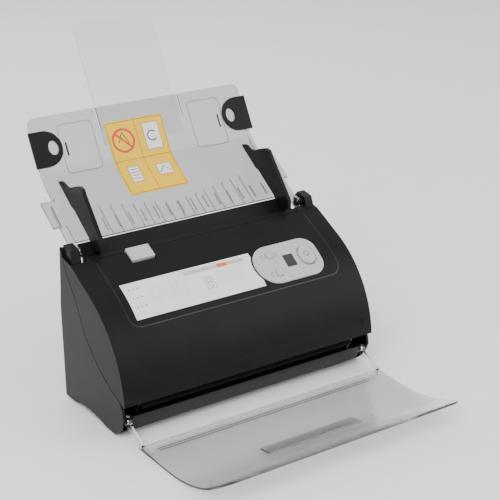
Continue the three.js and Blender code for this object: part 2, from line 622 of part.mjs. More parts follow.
function chuteSheet() {
  const half = CHUTE_WIDTH / 2;
  const sheet = slab(chuteBand(0, chuteLength, 0, CHUTE_SHEET, 24), -half, half);
  const ribs = [];
  for (let i = 0; i < RIB.count; i += 1) {
    const x = (i - (RIB.count - 1) / 2) * RIB.pitch;
    const share = Math.abs(x) / (RIB.pitch * (RIB.count - 1) / 2);
    const length = RIB.shortest + (RIB.longest - RIB.shortest) * share;
    ribs.push(slab(chuteBand(1, length, CHUTE_SHEET / 2, CHUTE_SHEET + RIB.height, 3), x - RIB.width / 2, x + RIB.width / 2));
  }
  const edges = [-1, 1].map((side) => {
    const [a, b] = mirrored(side, half - EDGE_BAR.width, half);
    return slab(chuteBand(WING.s1 + 2, chuteLength - 10, -EDGE_BAR.height + CHUTE_SHEET, CHUTE_SHEET / 2, 10), a, b);
  });
  const slits = [-1, 1].map((side) => {
    const [a, b] = mirrored(side, SLIT.x, SLIT.x + SLIT.width);
    return slab(chuteBand(chuteLength - SLIT.length, chuteLength + 4, -2, CHUTE_SHEET + 2, 2), a, b);
  });
  const corner = 9;
  const corners = [-1, 1].map((side) => {
    const outline = new THREE.Shape();
    outline.moveTo(side * (half - corner), 0.01);
    outline.absarc(side * (half - corner), -corner, corner, Math.PI / 2, side > 0 ? 0 : Math.PI, side > 0);
    outline.lineTo(side * (half + 3), -corner);
    outline.lineTo(side * (half + 3), 3);
    outline.lineTo(side * (half - corner), 3);
    const tool = new THREE.ExtrudeGeometry(outline, { depth: 24, bevelEnabled: false, curveSegments: 6 });
    tool.translate(0, 0, -12);
    return ontoSide(tool, chuteAt(chuteLength), chuteDirection(chuteLength));
  });
  const whole = join(sheet, ...ribs, ...edges, chuteArm(-1), chuteArm(1));
  return cut(whole, ...slits, ...corners);
}

const CLIP = { fromTop: 38, outside: 4, inside: 33, half: 21, thick: 3, hole: [6.5, 8.5], holeIn: 22 };

// D-shaped black clip on each side edge of the chute, round side inwards, with a finger hole.
function chuteClip(side) {
  const shape = new THREE.Shape();
  shape.moveTo(CLIP.outside, -CLIP.half);
  shape.lineTo(CLIP.outside, CLIP.half);
  shape.absellipse(CLIP.half - CLIP.inside, 0, CLIP.half, CLIP.half, Math.PI / 2, Math.PI * 1.5, false);
  shape.lineTo(CLIP.outside, -CLIP.half);
  const hole = new THREE.Path();
  hole.absellipse(-CLIP.holeIn, 0, ...CLIP.hole, 0, Math.PI * 2, false);
  shape.holes.push(hole);
  const geometry = new THREE.ExtrudeGeometry(shape, { depth: CLIP.thick, bevelEnabled: false, curveSegments: 12 });
  if (side < 0) geometry.applyMatrix4(new THREE.Matrix4().makeRotationY(Math.PI)).translate(0, 0, CLIP.thick);
  geometry.translate(side * CHUTE_WIDTH / 2, 0, 0);
  return ontoSide(geometry, chuteAt(chuteLength - CLIP.fromTop, CHUTE_SHEET + GAP), upperDir);
}

const LABEL = { x0: -50, x1: 27, s0: 44, s1: 142, thick: 0.5, lift: 0.3 };

function chuteLabel() {
  const low = CHUTE_SHEET + LABEL.lift;
  return slab(chuteBand(LABEL.s0, LABEL.s1, low, low + LABEL.thick, 24), LABEL.x0, LABEL.x1);
}

// The extension is flat and slides along the rear face of the sheet's straight upper part.
const extensionDir = upperDir;
const extensionTop = chuteAt(chuteLength, -1.2 - EXTENSION_SHEET);

const EXTENSION_CORNER = 8;
const FINGER_DIP = { radius: 22, depth: 4 };

function chuteExtension() {
  const half = EXTENSION_WIDTH / 2;
  const shape = new THREE.Shape();
  shape.moveTo(-half, 0);
  shape.lineTo(half, 0);
  shape.lineTo(half, EXTENSION_LENGTH - EXTENSION_CORNER);
  shape.absarc(half - EXTENSION_CORNER, EXTENSION_LENGTH - EXTENSION_CORNER, EXTENSION_CORNER, 0, Math.PI / 2, false);
  const dipHalf = Math.sqrt(FINGER_DIP.radius ** 2 - (FINGER_DIP.radius - FINGER_DIP.depth) ** 2);
  const dipAngle = Math.asin(dipHalf / FINGER_DIP.radius);
  const dipCentre = EXTENSION_LENGTH + FINGER_DIP.radius - FINGER_DIP.depth;
  shape.absarc(0, dipCentre, FINGER_DIP.radius, -Math.PI / 2 + dipAngle, -Math.PI / 2 - dipAngle, true);
  shape.absarc(-half + EXTENSION_CORNER, EXTENSION_LENGTH - EXTENSION_CORNER, EXTENSION_CORNER, Math.PI / 2, Math.PI, false);
  const sheet = new THREE.ExtrudeGeometry(shape, { depth: EXTENSION_SHEET, bevelEnabled: false, curveSegments: 8 });
  return ontoSide(sheet, along(extensionTop, extensionDir, EXTENSION_OUT - EXTENSION_LENGTH), extensionDir);
}

// ---- side guides with rack and pinion ----------------------------------------------------------
const FIN_AIR = 1;               // between a guide's back edge and the chute or its ribs
const FIN_REACH = 84;            // how far up the chute the guides run

function guideFin(side) {
  const inner = PAPER_WIDTH / 2;
  const [x0, x1] = mirrored(side, inner, inner + GUIDE_THICK);
  const overRibs = [0, RIB.longest + 2].map((s) => chuteAt(s, CHUTE_SHEET + RIB.height + FIN_AIR));
  const overSheet = [RIB.longest + 4, lowerLength, FIN_REACH].map((s) => chuteAt(s, CHUTE_SHEET + FIN_AIR));
  const top = [[58, 233], [49, 230], [40, 230], [28, 235], [14, 239], [7, 237.5], [3, 231]];
  const front = [[-33, 186], [-33, 175.5], [-21.5, 173.4]];
  const inPath = [bedAt(89, 4.4), bedAt(83, 4.2), bedAt(70, 4), bedAt(54, PAPER_GAP / 2), bedAt(54, -PAPER_GAP + 0.4)];
  const outline = [bedAt(BED_HIGH - 2, -PAPER_GAP + 0.4), ...overRibs, ...overSheet, ...top, ...front, ...inPath];
  return slab(outline, x0, x1);
}

const rackStep = Math.PI * GEAR_MODULE;
const RACK_TAIL_TEETH = 7;
const rackStart = -(RACK_TAIL_TEETH + 0.5) * rackStep;
const RACK_LIFT = -PAPER_GAP - BED_PLATE - 1 - RACK_DEPTH;

const ontoBed = (geometry, s, lift) => ontoSide(geometry, bedAt(s, lift), feedDir);

function guideRack(side) {
  const end = PAPER_WIDTH / 2 + GUIDE_THICK - 1;
  const count = Math.floor((end - rackStart) / rackStep);
  const base = -GEAR_MODULE * TOOTH_ROOT;
  const points = [];
  for (let i = 0; i < count; i += 1) {
    const middle = rackStart + (i + 0.5) * rackStep;
    for (const [share, v] of [[-0.28, base], [-0.1, GEAR_MODULE * TOOTH_TIP], [0.1, GEAR_MODULE * TOOTH_TIP], [0.28, base]]) {
      points.push([middle + share * rackStep, v]);
    }
  }
  const outline = [[rackStart, base - RACK_BACK], [end, base - RACK_BACK], [end, base], ...points.reverse(), [rackStart, base]];
  const shape = new THREE.Shape(outline.map(([u, v]) => new THREE.Vector2(u, v)));
  const geometry = new THREE.ExtrudeGeometry(shape, { depth: RACK_DEPTH, bevelEnabled: false });
  geometry.translate(0, -pitch(PINION_TEETH), 0);
  if (side < 0) geometry.rotateZ(Math.PI);
  const [x0, x1] = mirrored(side, end - 3.5, end);
  const armLength = -RACK_LIFT - PAPER_GAP + 0.2 - GAP;
  const foot = strip(bedAt(armPlace(side) - ARM_HALF, RACK_LIFT + 1), feedDir, 2 * ARM_HALF, 0, armLength - 1);
  return join(ontoBed(geometry, RACK_S, RACK_LIFT), slab(foot, x0, x1));
}

function guidePinion() {
  const root = pitch(PINION_TEETH) - GEAR_MODULE * TOOTH_ROOT;
  const tip = pitch(PINION_TEETH) + GEAR_MODULE * TOOTH_TIP;
  const step = 2 * Math.PI / PINION_TEETH;
  const points = [];
  for (let i = 0; i < PINION_TEETH; i += 1) {
    const middle = -Math.PI / 2 + (i + 0.5) * step;
    for (const [share, r] of [[-0.28, root], [-0.1, tip], [0.1, tip], [0.28, root]]) {
      points.push(new THREE.Vector2(r * Math.cos(middle + share * step), r * Math.sin(middle + share * step)));
    }
  }
  const geometry = new THREE.ExtrudeGeometry(new THREE.Shape(points), { depth: RACK_DEPTH, bevelEnabled: false });
  return ontoBed(geometry, RACK_S, RACK_LIFT);
}

// ---- opening cover ---------------------------------------------------------------------------
const coverOutward = leftOf(coverSlopeDir).map((v) => -v);
const CHEEK_EAR = 3.6;           // round end of each ear that takes a hinge pin

const EAR_X = FRAME_PLATE_X + 8;

// Inside ear of the cover, beside the frame plate.
function coverEar(side) {
  const [x0, x1] = mirrored(side, EAR_X, EAR_X + 4);
  const [y, z] = COVER_PIVOT;
  const web = [[y - 6, z - 2.5], [y, z - CHEEK_EAR], [y + CHEEK_EAR, z], [y + 2, z + 9], [y - 5.6, z + 14]];
  return join(slab(web, x0, x1), bar(CHEEK_EAR, x0, x1, COVER_PIVOT));
}

const coverPin = (side) => bar(COVER_PIN_RADIUS, ...mirrored(side, FRAME_PLATE_X - 4, EAR_X + 5), COVER_PIVOT, 20);

function coverShell() {
  const outer = coverLine(0);
  const inner = coverLine(WALL).reverse();
  const band = slab([...outer, ...inner], -HALF, HALF);
  const cheeks = [-1, 1].map((side) => {
    const [x0, x1] = mirrored(side, INNER + GAP, HALF);
    return slab([...coverLine(0.4), [COVER_PIVOT[0] - 2, COVER_FOOT], ...[...PARTING].reverse()], x0, x1);
  });
  const ears = [-1, 1].map((side) => coverEar(side));
  const holes = [-1, 1].map((side) => bar(COVER_PIN_RADIUS + GAP, ...mirrored(side, FRAME_PLATE_X, INNER + 1), COVER_PIVOT));
  const strip = toGeometry(toSolid(stripPocket(GAP)).subtract(toSolid(panelPrism(2 - GAP))));
  return cut(join(band, ...cheeks, ...ears), ...holes, panelPocket(GAP), strip, tabPocket(GAP));
}

// Solid that follows the cover's surface: x range, distance down from the seam, height over it.
function onCover(x0, x1, d0, d1, low, high) {
  const steps = 8;
  const lower = [];
  const upper = [];
  for (let i = 0; i <= steps; i += 1) {
    const d = d0 + (d1 - d0) * (i / steps);
    lower.push(coverAt(d, low));
    upper.push(coverAt(d, high));
  }
  return slab([...lower.reverse(), ...upper], x0, x1);
}

const PANEL = { x0: 36, x1: 124, d0: 40.5, d1: 91.5, depth: 1.6, proud: 1.2 };
const STRIP = { x0: -127, x1: 39, d0: 43, d1: 89.5, depth: 0.7, proud: 0.15 };
const TAB = { x0: -96.5, x1: -67.5, d0: -3.5, d1: 15, depth: 3.6, proud: 2.2 };
const TAB_TRAVEL = 2;
const PANEL_CORNER = 16;

// Upright prism over the cover with the panel's outline: round left end, rounded right corners.
function panelPrism(room) {
  const radius = (PANEL.d1 - PANEL.d0) / 2 + room;
  const shape = new THREE.Shape();
  const x0 = PANEL.x0 - room + radius;
  const x1 = PANEL.x1 + room - PANEL_CORNER;
  const v = radius - PANEL_CORNER;
  shape.absarc(x0, 0, radius, Math.PI / 2, Math.PI * 1.5, false);
  shape.absarc(x1, -v, PANEL_CORNER, -Math.PI / 2, 0, false);
  shape.absarc(x1, v, PANEL_CORNER, 0, Math.PI / 2, false);
  const prism = new THREE.ExtrudeGeometry(shape, { depth: 20, bevelEnabled: false, curveSegments: 8 });
  const middle = (PANEL.d0 + PANEL.d1) / 2;
  prism.translate(0, 0, -10);
  return ontoSide(prism, coverAt(middle, 0), coverDown(middle).map((v2) => -v2));
}

// The part of a surface-following slab that lies inside the panel's outline.
function panelShape(room, low, high) {
  const slabSolid = toSolid(onCover(PANEL.x0 - 2, PANEL.x1 + 2, PANEL.d0 - 3, PANEL.d1 + 3, low, high));
  return toGeometry(slabSolid.intersect(toSolid(panelPrism(room))));
}

const panelPocket = (room) => panelShape(room, -PANEL.depth - room, 4);
const stripPocket = (room) => onCover(STRIP.x0 - room, STRIP.x1 + room, STRIP.d0 - room, STRIP.d1 + room,
  -STRIP.depth - room, 4);
const tabPocket = (room) => onCover(TAB.x0 - room, TAB.x1 + room, TAB.d0 - 4, TAB.d1 + TAB_TRAVEL + room + 0.5,
  -TAB.depth - 2, 4);

const ROUND_BUTTONS = [{ name: 'page_up_button', x: 61, d: 55, r: 4.5 }, { name: 'page_down_button', x: 62, d: 79, r: 4.5 }];
const SCAN_BUTTON = { x: 107, d: 66, r: 10, long: 1.25 };
const WINDOW = { x: 83, d: 67, halfX: 6.5, halfD: 8 };
const BUTTON_ROOM = 0.5;
const BUTTON_PROUD = 1.4;
const BUTTON_DEEP = 1.6;
const BUTTON_TRAVEL = 1;

function buttonCap(spec, room, low, high) {
  const geometry = new THREE.CylinderGeometry(spec.r + room, spec.r + room, high - low, 28);
  geometry.rotateX(Math.PI / 2).translate(0, 0, (low + high) / 2);
  geometry.applyMatrix4(new THREE.Matrix4().makeScale(1, spec.long || 1, 1));
  geometry.translate(spec.x, 0, 0);
  return ontoSide(geometry, coverAt(spec.d, 0), coverDown(spec.d).map((v) => -v));
}

function controlPanel() {
  const plate = panelShape(0, -PANEL.depth, PANEL.proud);
  const holes = [...ROUND_BUTTONS, SCAN_BUTTON].map((b) => buttonCap(b, BUTTON_ROOM, -4, 6));
  const glass = onCover(WINDOW.x - WINDOW.halfX - GAP, WINDOW.x + WINDOW.halfX + GAP,
    WINDOW.d - WINDOW.halfD - GAP, WINDOW.d + WINDOW.halfD + GAP, PANEL.proud - 0.8, 5);
  return cut(plate, ...holes, glass);
}

const displayWindow = () => onCover(WINDOW.x - WINDOW.halfX, WINDOW.x + WINDOW.halfX,
  WINDOW.d - WINDOW.halfD, WINDOW.d + WINDOW.halfD, PANEL.proud - 0.5, PANEL.proud + 0.1);
const button = (spec) => buttonCap(spec, 0, -PANEL.depth + BUTTON_TRAVEL + 0.5, PANEL.proud + BUTTON_PROUD);

function labelStrip() {
  const plate = onCover(STRIP.x0, STRIP.x1, STRIP.d0, STRIP.d1, -STRIP.depth, STRIP.proud);
  return cut(plate, panelPrism(2));
}

const releaseTab = () => onCover(TAB.x0, TAB.x1, TAB.d0, TAB.d1, -TAB.depth, TAB.proud);
const panelBoard = () => onCover(PANEL.x0 + 12, PANEL.x1 - 8, PANEL.d0 + 5, PANEL.d1 - 5,
  -PANEL.depth - 6, -PANEL.depth - 4.4);

const INNER_END = exitLength - 18;      // upper guide stops above the cover's pivot
const PAD = { half: 20, s0: 34, s1: 50, thick: 2 };

// Upper paper guide: from the throat lip down round the bend to above the exit.
function coverInner() {
  const lipTop = seamTop[1] + 0.2;
  const a = PAPER_GAP;
  const b = PAPER_GAP + BED_PLATE;
  const outline = [
    exitAt(INNER_END, a), pathCorner(a), bedAt(52, a), bedAt(72, 7), [LIP_Y, lipTop - 3], [LIP_Y - 1, lipTop + 1.5],
    [SEAM_Y + 2.2, lipTop - 0.6], [SEAM_Y + 2.2, lipTop - 5], [LIP_Y - 3.6, lipTop - 5.5], bedAt(72, 11),
    bedAt(52, b), pathCorner(b), exitAt(INNER_END, b),
  ];
  const x1 = FRAME_PLATE_X - 3 - GAP;
  const half = SENSOR_LENGTH / 2 + GAP;
  const padHole = slab(strip(bedAt(PAD.s0 - GAP, 0), feedDir, PAD.s1 - PAD.s0 + 2 * GAP, 0, 12), -PAD.half - GAP, PAD.half + GAP);
  const windows = [drivePinchAt, exitPinchAt].flatMap((at) => rollerWindows(at, PINCH_RADIUS));
  return cut(slab(outline, -x1, x1), slab(sensorPocket(1), -half, half), padHole, tabPocket(GAP), ...windows);
}

const drivePinchAt = exitAt(ROLLER_DRIVE_S, PINCH_RADIUS + NIP + 0.3);
const exitPinchAt = exitAt(ROLLER_EXIT_S, PINCH_RADIUS + NIP + 0.3);
const separationPad = () => slab(strip(bedAt(PAD.s0, PAPER_GAP), feedDir, PAD.s1 - PAD.s0, 0, PAD.thick), -PAD.half, PAD.half);
const pinchRoller = (at) => roller(at, PINCH_RADIUS, PINCH_SHAFT, -100, 100);

// ---- output tray -------------------------------------------------------------------------------
const TRAY_DROP = [-156, 2.4];   // where the arms reach the table

function trayLine(lift) {
  const line = [[TRAY_DROP[0] - 4, 1 + lift], [TRAY_DROP[0] - TRAY_FLAT, 1 + lift]];
  const centre = [TRAY_DROP[0] - TRAY_FLAT, 1 + TRAY_LIP_RADIUS];
  const steps = 12;
  for (let i = 1; i <= steps; i += 1) {
    const angle = TRAY_LIP_TURN * (i / steps);
    const r = TRAY_LIP_RADIUS - lift;
    line.push([centre[0] - r * Math.sin(angle), centre[1] - r * Math.cos(angle)]);
  }
  return line;
}

function traySide(side) {
  const [x0, x1] = mirrored(side, TRAY_WIDTH / 2 - TRAY_ARM, TRAY_WIDTH / 2);
  const [hy, hz] = TRAY_HINGE;
  const ring = 6;
  const outline = [
    [hy - ring * 0.2, hz + ring], [hy - ring, hz + ring * 0.4], [hy - ring * 1.1, hz - ring * 0.6],
    [TRAY_DROP[0] - 8, TRAY_DROP[1] + 3], [TRAY_DROP[0] - 40, 1 + TRAY_SHEET],
    [TRAY_DROP[0] - 40, 1], [TRAY_DROP[0], 1], [hy + ring * 0.2, hz - ring], [hy + ring, hz - ring * 0.3], [hy + ring * 0.7, hz + ring * 0.7],
  ];
  return slab(outline, x0, x1);
}

const TRAY_CORNER = 26;

// Upright tool that rounds one front corner of the tray.
function trayCorner(side) {
  const reach = TRAY_LIP_RADIUS * Math.sin(TRAY_LIP_TURN);
  const y = TRAY_DROP[0] - TRAY_FLAT - reach + TRAY_CORNER;
  const shape = new THREE.Shape();
  const x = TRAY_WIDTH / 2 - TRAY_CORNER;
  shape.moveTo(x, -TRAY_CORNER - 4);
  shape.lineTo(x, -TRAY_CORNER);
  shape.absarc(x, 0, TRAY_CORNER, -Math.PI / 2, 0, false);
  shape.lineTo(TRAY_WIDTH / 2 + 4, 0);
  shape.lineTo(TRAY_WIDTH / 2 + 4, -TRAY_CORNER - 4);
  const tool = new THREE.ExtrudeGeometry(shape, { depth: 60, bevelEnabled: false, curveSegments: 8 });
  tool.translate(0, y, -5);
  if (side > 0) return tool;
  return tool.rotateY(Math.PI).translate(0, 0, 50);
}

function outputTray() {
  const half = TRAY_WIDTH / 2;
  const sheet = slab([...trayLine(0), ...trayLine(TRAY_SHEET).reverse()], -half, half);
  const rib = block([-half + 1, TRAY_DROP[0] - 10, 1], [half - 1, TRAY_DROP[0] - 4, 1 + TRAY_SHEET + 2]);
  const holes = [-1, 1].map((side) => bar(TRAY_PIN + RUN, ...mirrored(side, half - TRAY_ARM - 1, half + 1), TRAY_HINGE));
  const corners = [-1, 1].map((side) => trayCorner(side));
  return cut(join(sheet, rib, traySide(-1), traySide(1)), ...holes, ...corners);
}

const STOPPER_Y = -237;
const trayTop = (y) => 1 + TRAY_SHEET + TRAY_LIP_RADIUS
  - Math.sqrt(TRAY_LIP_RADIUS ** 2 - Math.max(0, TRAY_DROP[0] - TRAY_FLAT - y) ** 2);

// Raised strip lying on the tray's sheet, just past where it starts to curl up.
function stopperLine(lift, thick) {
  const y0 = STOPPER_Y - STOPPER_LENGTH;
  const a = trayTop(STOPPER_Y) + lift;
  const b = trayTop(y0) + lift;
  return [[STOPPER_Y, a], [STOPPER_Y, a + thick], [y0, b + thick], [y0, b]];
}

const trayStopper = () => slab(stopperLine(GAP, STOPPER_SHEET), -STOPPER_WIDTH / 2, STOPPER_WIDTH / 2);

// ---- feet ------------------------------------------------------------------------------------
const FOOT_X = 116;

function foot(side, y) {
  const [x0, x1] = mirrored(side, FOOT_X, FOOT_X + FOOT_SIZE * 1.6);
  return block([x0, y, 0], [x1, y + FOOT_SIZE * 0.9, FOOT_DROP - GAP]);
}

// ---- assembly ----------------------------------------------------------------------------------
const SIDES = [['left', -1], ['right', 1]];
for (const [word, side] of SIDES) {
  add(`side_panel_${word}`, sidePanel(side), DARK_GREY);
  add(`hinge_block_${word}`, hingeBlock(side), BLACK);
  add(`frame_plate_${word}`, framePlate(side), STEEL);
  add(`rubber_foot_front_${word}`, foot(side, -114), RUBBER);
  add(`rubber_foot_rear_${word}`, foot(side, -19), RUBBER);
  add(`paper_guide_${word}`, guideFin(side), BLACK);
  add(`guide_rack_${word}`, guideRack(side), BLACK);
  add(`chute_clip_${word}`, chuteClip(side), BLACK);
  add(`cover_pin_${word}`, coverPin(side), STEEL);
}
add('rear_cover', rearCover(), BLACK);
add('base_plate', basePlate(), BLACK);
add('front_skirt', frontSkirt(), BLACK);
add('paper_bed', paperBed(), BLACK);
add('lower_guide', lowerGuide(), BLACK);
add('feed_roller', drivenRoller(feedRollerAt), RUBBER);
add('drive_roller', drivenRoller(driveRollerAt), RUBBER);
add('exit_roller', drivenRoller(exitRollerAt), RUBBER);
add('feed_gear', shaftGear(feedGear), GEAR_WHITE);
add('drive_gear', shaftGear(driveGear), GEAR_WHITE);
add('exit_gear', shaftGear(exitGear), GEAR_WHITE);
add('exit_idler', idler(exitIdler), GEAR_WHITE);
add('feed_idler', idler(feedIdler), GEAR_WHITE);
add('motor', motor(), STEEL);
add('motor_pinion', motorPinion(), STEEL);
add('lower_image_sensor', sensorBody(-1), BLACK);
add('lower_sensor_glass', sensorGlass(-1), GLASS);
add('main_board', mainBoard(), BOARD);
add('power_jack', powerJack(), BLACK);
add('usb_port', usbPort(), STEEL);
add('power_switch', switchRocker(), BLACK);
add('guide_pinion', guidePinion(), GEAR_WHITE);
add('chute', chuteSheet(), SMOKE);
add('chute_label', chuteLabel(), YELLOW);
add('chute_extension', chuteExtension(), CLEAR);
add('cover_shell', coverShell(), BLACK);
add('cover_inner_guide', coverInner(), BLACK);
add('control_panel', controlPanel(), PANEL_GREY);
add('display_window', displayWindow(), GLASS);
add('label_strip', labelStrip(), WHITE);
add('release_tab', releaseTab(), LIGHT_GREY);
add('panel_board', panelBoard(), BOARD);
add('scan_button', button(SCAN_BUTTON), LIGHT_GREY);
for (const spec of ROUND_BUTTONS) add(spec.name, button(spec), LIGHT_GREY);
add('drive_pinch_roller', pinchRoller(drivePinchAt), RUBBER);
add('exit_pinch_roller', pinchRoller(exitPinchAt), RUBBER);
add('separation_pad', separationPad(), RUBBER);
add('upper_image_sensor', sensorBody(1), BLACK);
add('upper_sensor_glass', sensorGlass(1), GLASS);
add('output_tray', outputTray(), CLEAR);
add('tray_stopper', trayStopper(), CLEAR);

const box = new THREE.Box3().setFromObject(group);
const shift = new THREE.Vector3(-(box.min.x + box.max.x) / 2, -(box.min.y + box.max.y) / 2, -box.min.z);
for (const mesh of group.children) mesh.geometry.translate(shift.x, shift.y, shift.z);

export default group;
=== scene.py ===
"""Visual model of a sheet fed document scanner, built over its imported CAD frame."""

import json
import logging
import math
from dataclasses import dataclass, field
from enum import Enum
from typing import Iterable, Sequence

import bmesh
import bpy
from mathutils import Matrix, Vector
from mathutils.bvhtree import BVHTree

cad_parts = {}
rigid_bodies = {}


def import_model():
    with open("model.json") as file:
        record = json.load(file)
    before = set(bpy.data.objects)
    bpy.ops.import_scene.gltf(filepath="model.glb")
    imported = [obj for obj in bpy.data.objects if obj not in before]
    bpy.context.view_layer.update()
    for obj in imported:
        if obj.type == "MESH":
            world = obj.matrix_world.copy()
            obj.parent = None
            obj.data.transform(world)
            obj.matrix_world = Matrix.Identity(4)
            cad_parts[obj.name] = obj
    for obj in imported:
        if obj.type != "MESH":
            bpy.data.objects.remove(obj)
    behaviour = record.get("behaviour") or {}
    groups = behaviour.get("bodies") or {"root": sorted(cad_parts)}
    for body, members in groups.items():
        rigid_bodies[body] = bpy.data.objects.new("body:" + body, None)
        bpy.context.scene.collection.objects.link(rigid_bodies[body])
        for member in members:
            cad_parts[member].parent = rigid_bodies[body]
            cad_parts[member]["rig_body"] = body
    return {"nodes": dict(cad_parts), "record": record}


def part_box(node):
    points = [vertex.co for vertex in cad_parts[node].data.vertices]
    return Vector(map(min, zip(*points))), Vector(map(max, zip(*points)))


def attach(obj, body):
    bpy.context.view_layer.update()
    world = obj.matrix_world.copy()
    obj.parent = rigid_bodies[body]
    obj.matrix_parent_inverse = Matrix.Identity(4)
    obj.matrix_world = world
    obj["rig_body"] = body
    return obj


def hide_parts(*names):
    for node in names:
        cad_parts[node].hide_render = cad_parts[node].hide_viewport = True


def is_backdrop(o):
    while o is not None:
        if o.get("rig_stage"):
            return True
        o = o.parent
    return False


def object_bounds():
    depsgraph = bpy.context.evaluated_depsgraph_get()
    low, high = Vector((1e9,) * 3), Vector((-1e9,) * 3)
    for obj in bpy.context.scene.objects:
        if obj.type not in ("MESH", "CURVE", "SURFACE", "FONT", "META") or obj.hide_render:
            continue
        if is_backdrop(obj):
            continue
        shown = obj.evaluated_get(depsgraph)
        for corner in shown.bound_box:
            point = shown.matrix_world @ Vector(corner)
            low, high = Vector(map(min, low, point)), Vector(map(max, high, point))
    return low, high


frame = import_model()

log = logging.getLogger("scanner")

MM = 0.001

# colour and roughness drift: features in a metre, and the share of noise that turns into shade
BROAD_PATCHES = 22.0
BROAD_DETAIL = 4.0
FINE_SPECKS = 900.0
FINE_DETAIL = 2.0
SHADE_FROM = 0.14
SHADE_TO = 0.38
HANDLED_PATCHES = 34.0
HANDLED_DETAIL = 6.0
HANDLED_DISTORTION = 0.6
NOISE_MIDDLE = 0.5

# relief
BUMP_STRENGTH = 0.7
SATIN_DETAIL = 3.0
BRUSHED_STRETCH = (0.04, 1.0, 1.0)
EVEN_STRETCH = (1.0, 1.0, 1.0)

# easing of edges, with angles in degrees and lengths in metres
JOIN_DISTANCE = 1e-6
FLAT_ANGLE = 0.4
SHARP_ANGLE = 32
EASED_ANGLE = 34
EASED_SEGMENTS = 2
CAST_HEIGHT = 0.05

# printing, in millimetres
BASE_LIFT = 0.06
SECOND_LIFT = 0.12
THIRD_LIFT = 0.18
GROOVE_LIFT = 0.05
SLOT_LIFT = 0.08
ROW_STEP = 2.0
CURVE_STEP = 3.0
RIB_STEP = 4.0
CORNER_STEPS = 6

Point = tuple[float, float]
Box = tuple[float, float, float, float]
Colour = tuple[float, float, float]


# --------------------------------------------------------------------------- finishes


class Grain(Enum):
    """The relief a surface is given when it is moulded, rolled or printed."""

    SPARK = "spark"
    SATIN = "satin"
    BRUSHED = "brushed"
    TRACKS = "tracks"


@dataclass(frozen=True)
class Finish:
    """How one material looks.

    Args:
        colour: the main colour, linear.
        shade: the colour it drifts towards in soft patches.
        roughness: the mean roughness.
        spread: how far handling moves the roughness either way.
        relief: depth of the surface relief in metres.
        pitch: number of relief features in a metre.
        grain: the kind of relief.
        metallic: one for bare metal.
        transmission: one for a clear moulding.
        ior: refractive index.
        coat: weight of a gloss coat.
        shine: strength of the reflection off a plain surface.
    """

    colour: Colour
    shade: Colour
    roughness: float
    spread: float = 0.06
    relief: float = 2e-5
    pitch: float = 1400.0
    grain: Grain = Grain.SPARK
    metallic: float = 0.0
    transmission: float = 0.0
    ior: float = 1.49
    coat: float = 0.0
    shine: float = 0.5


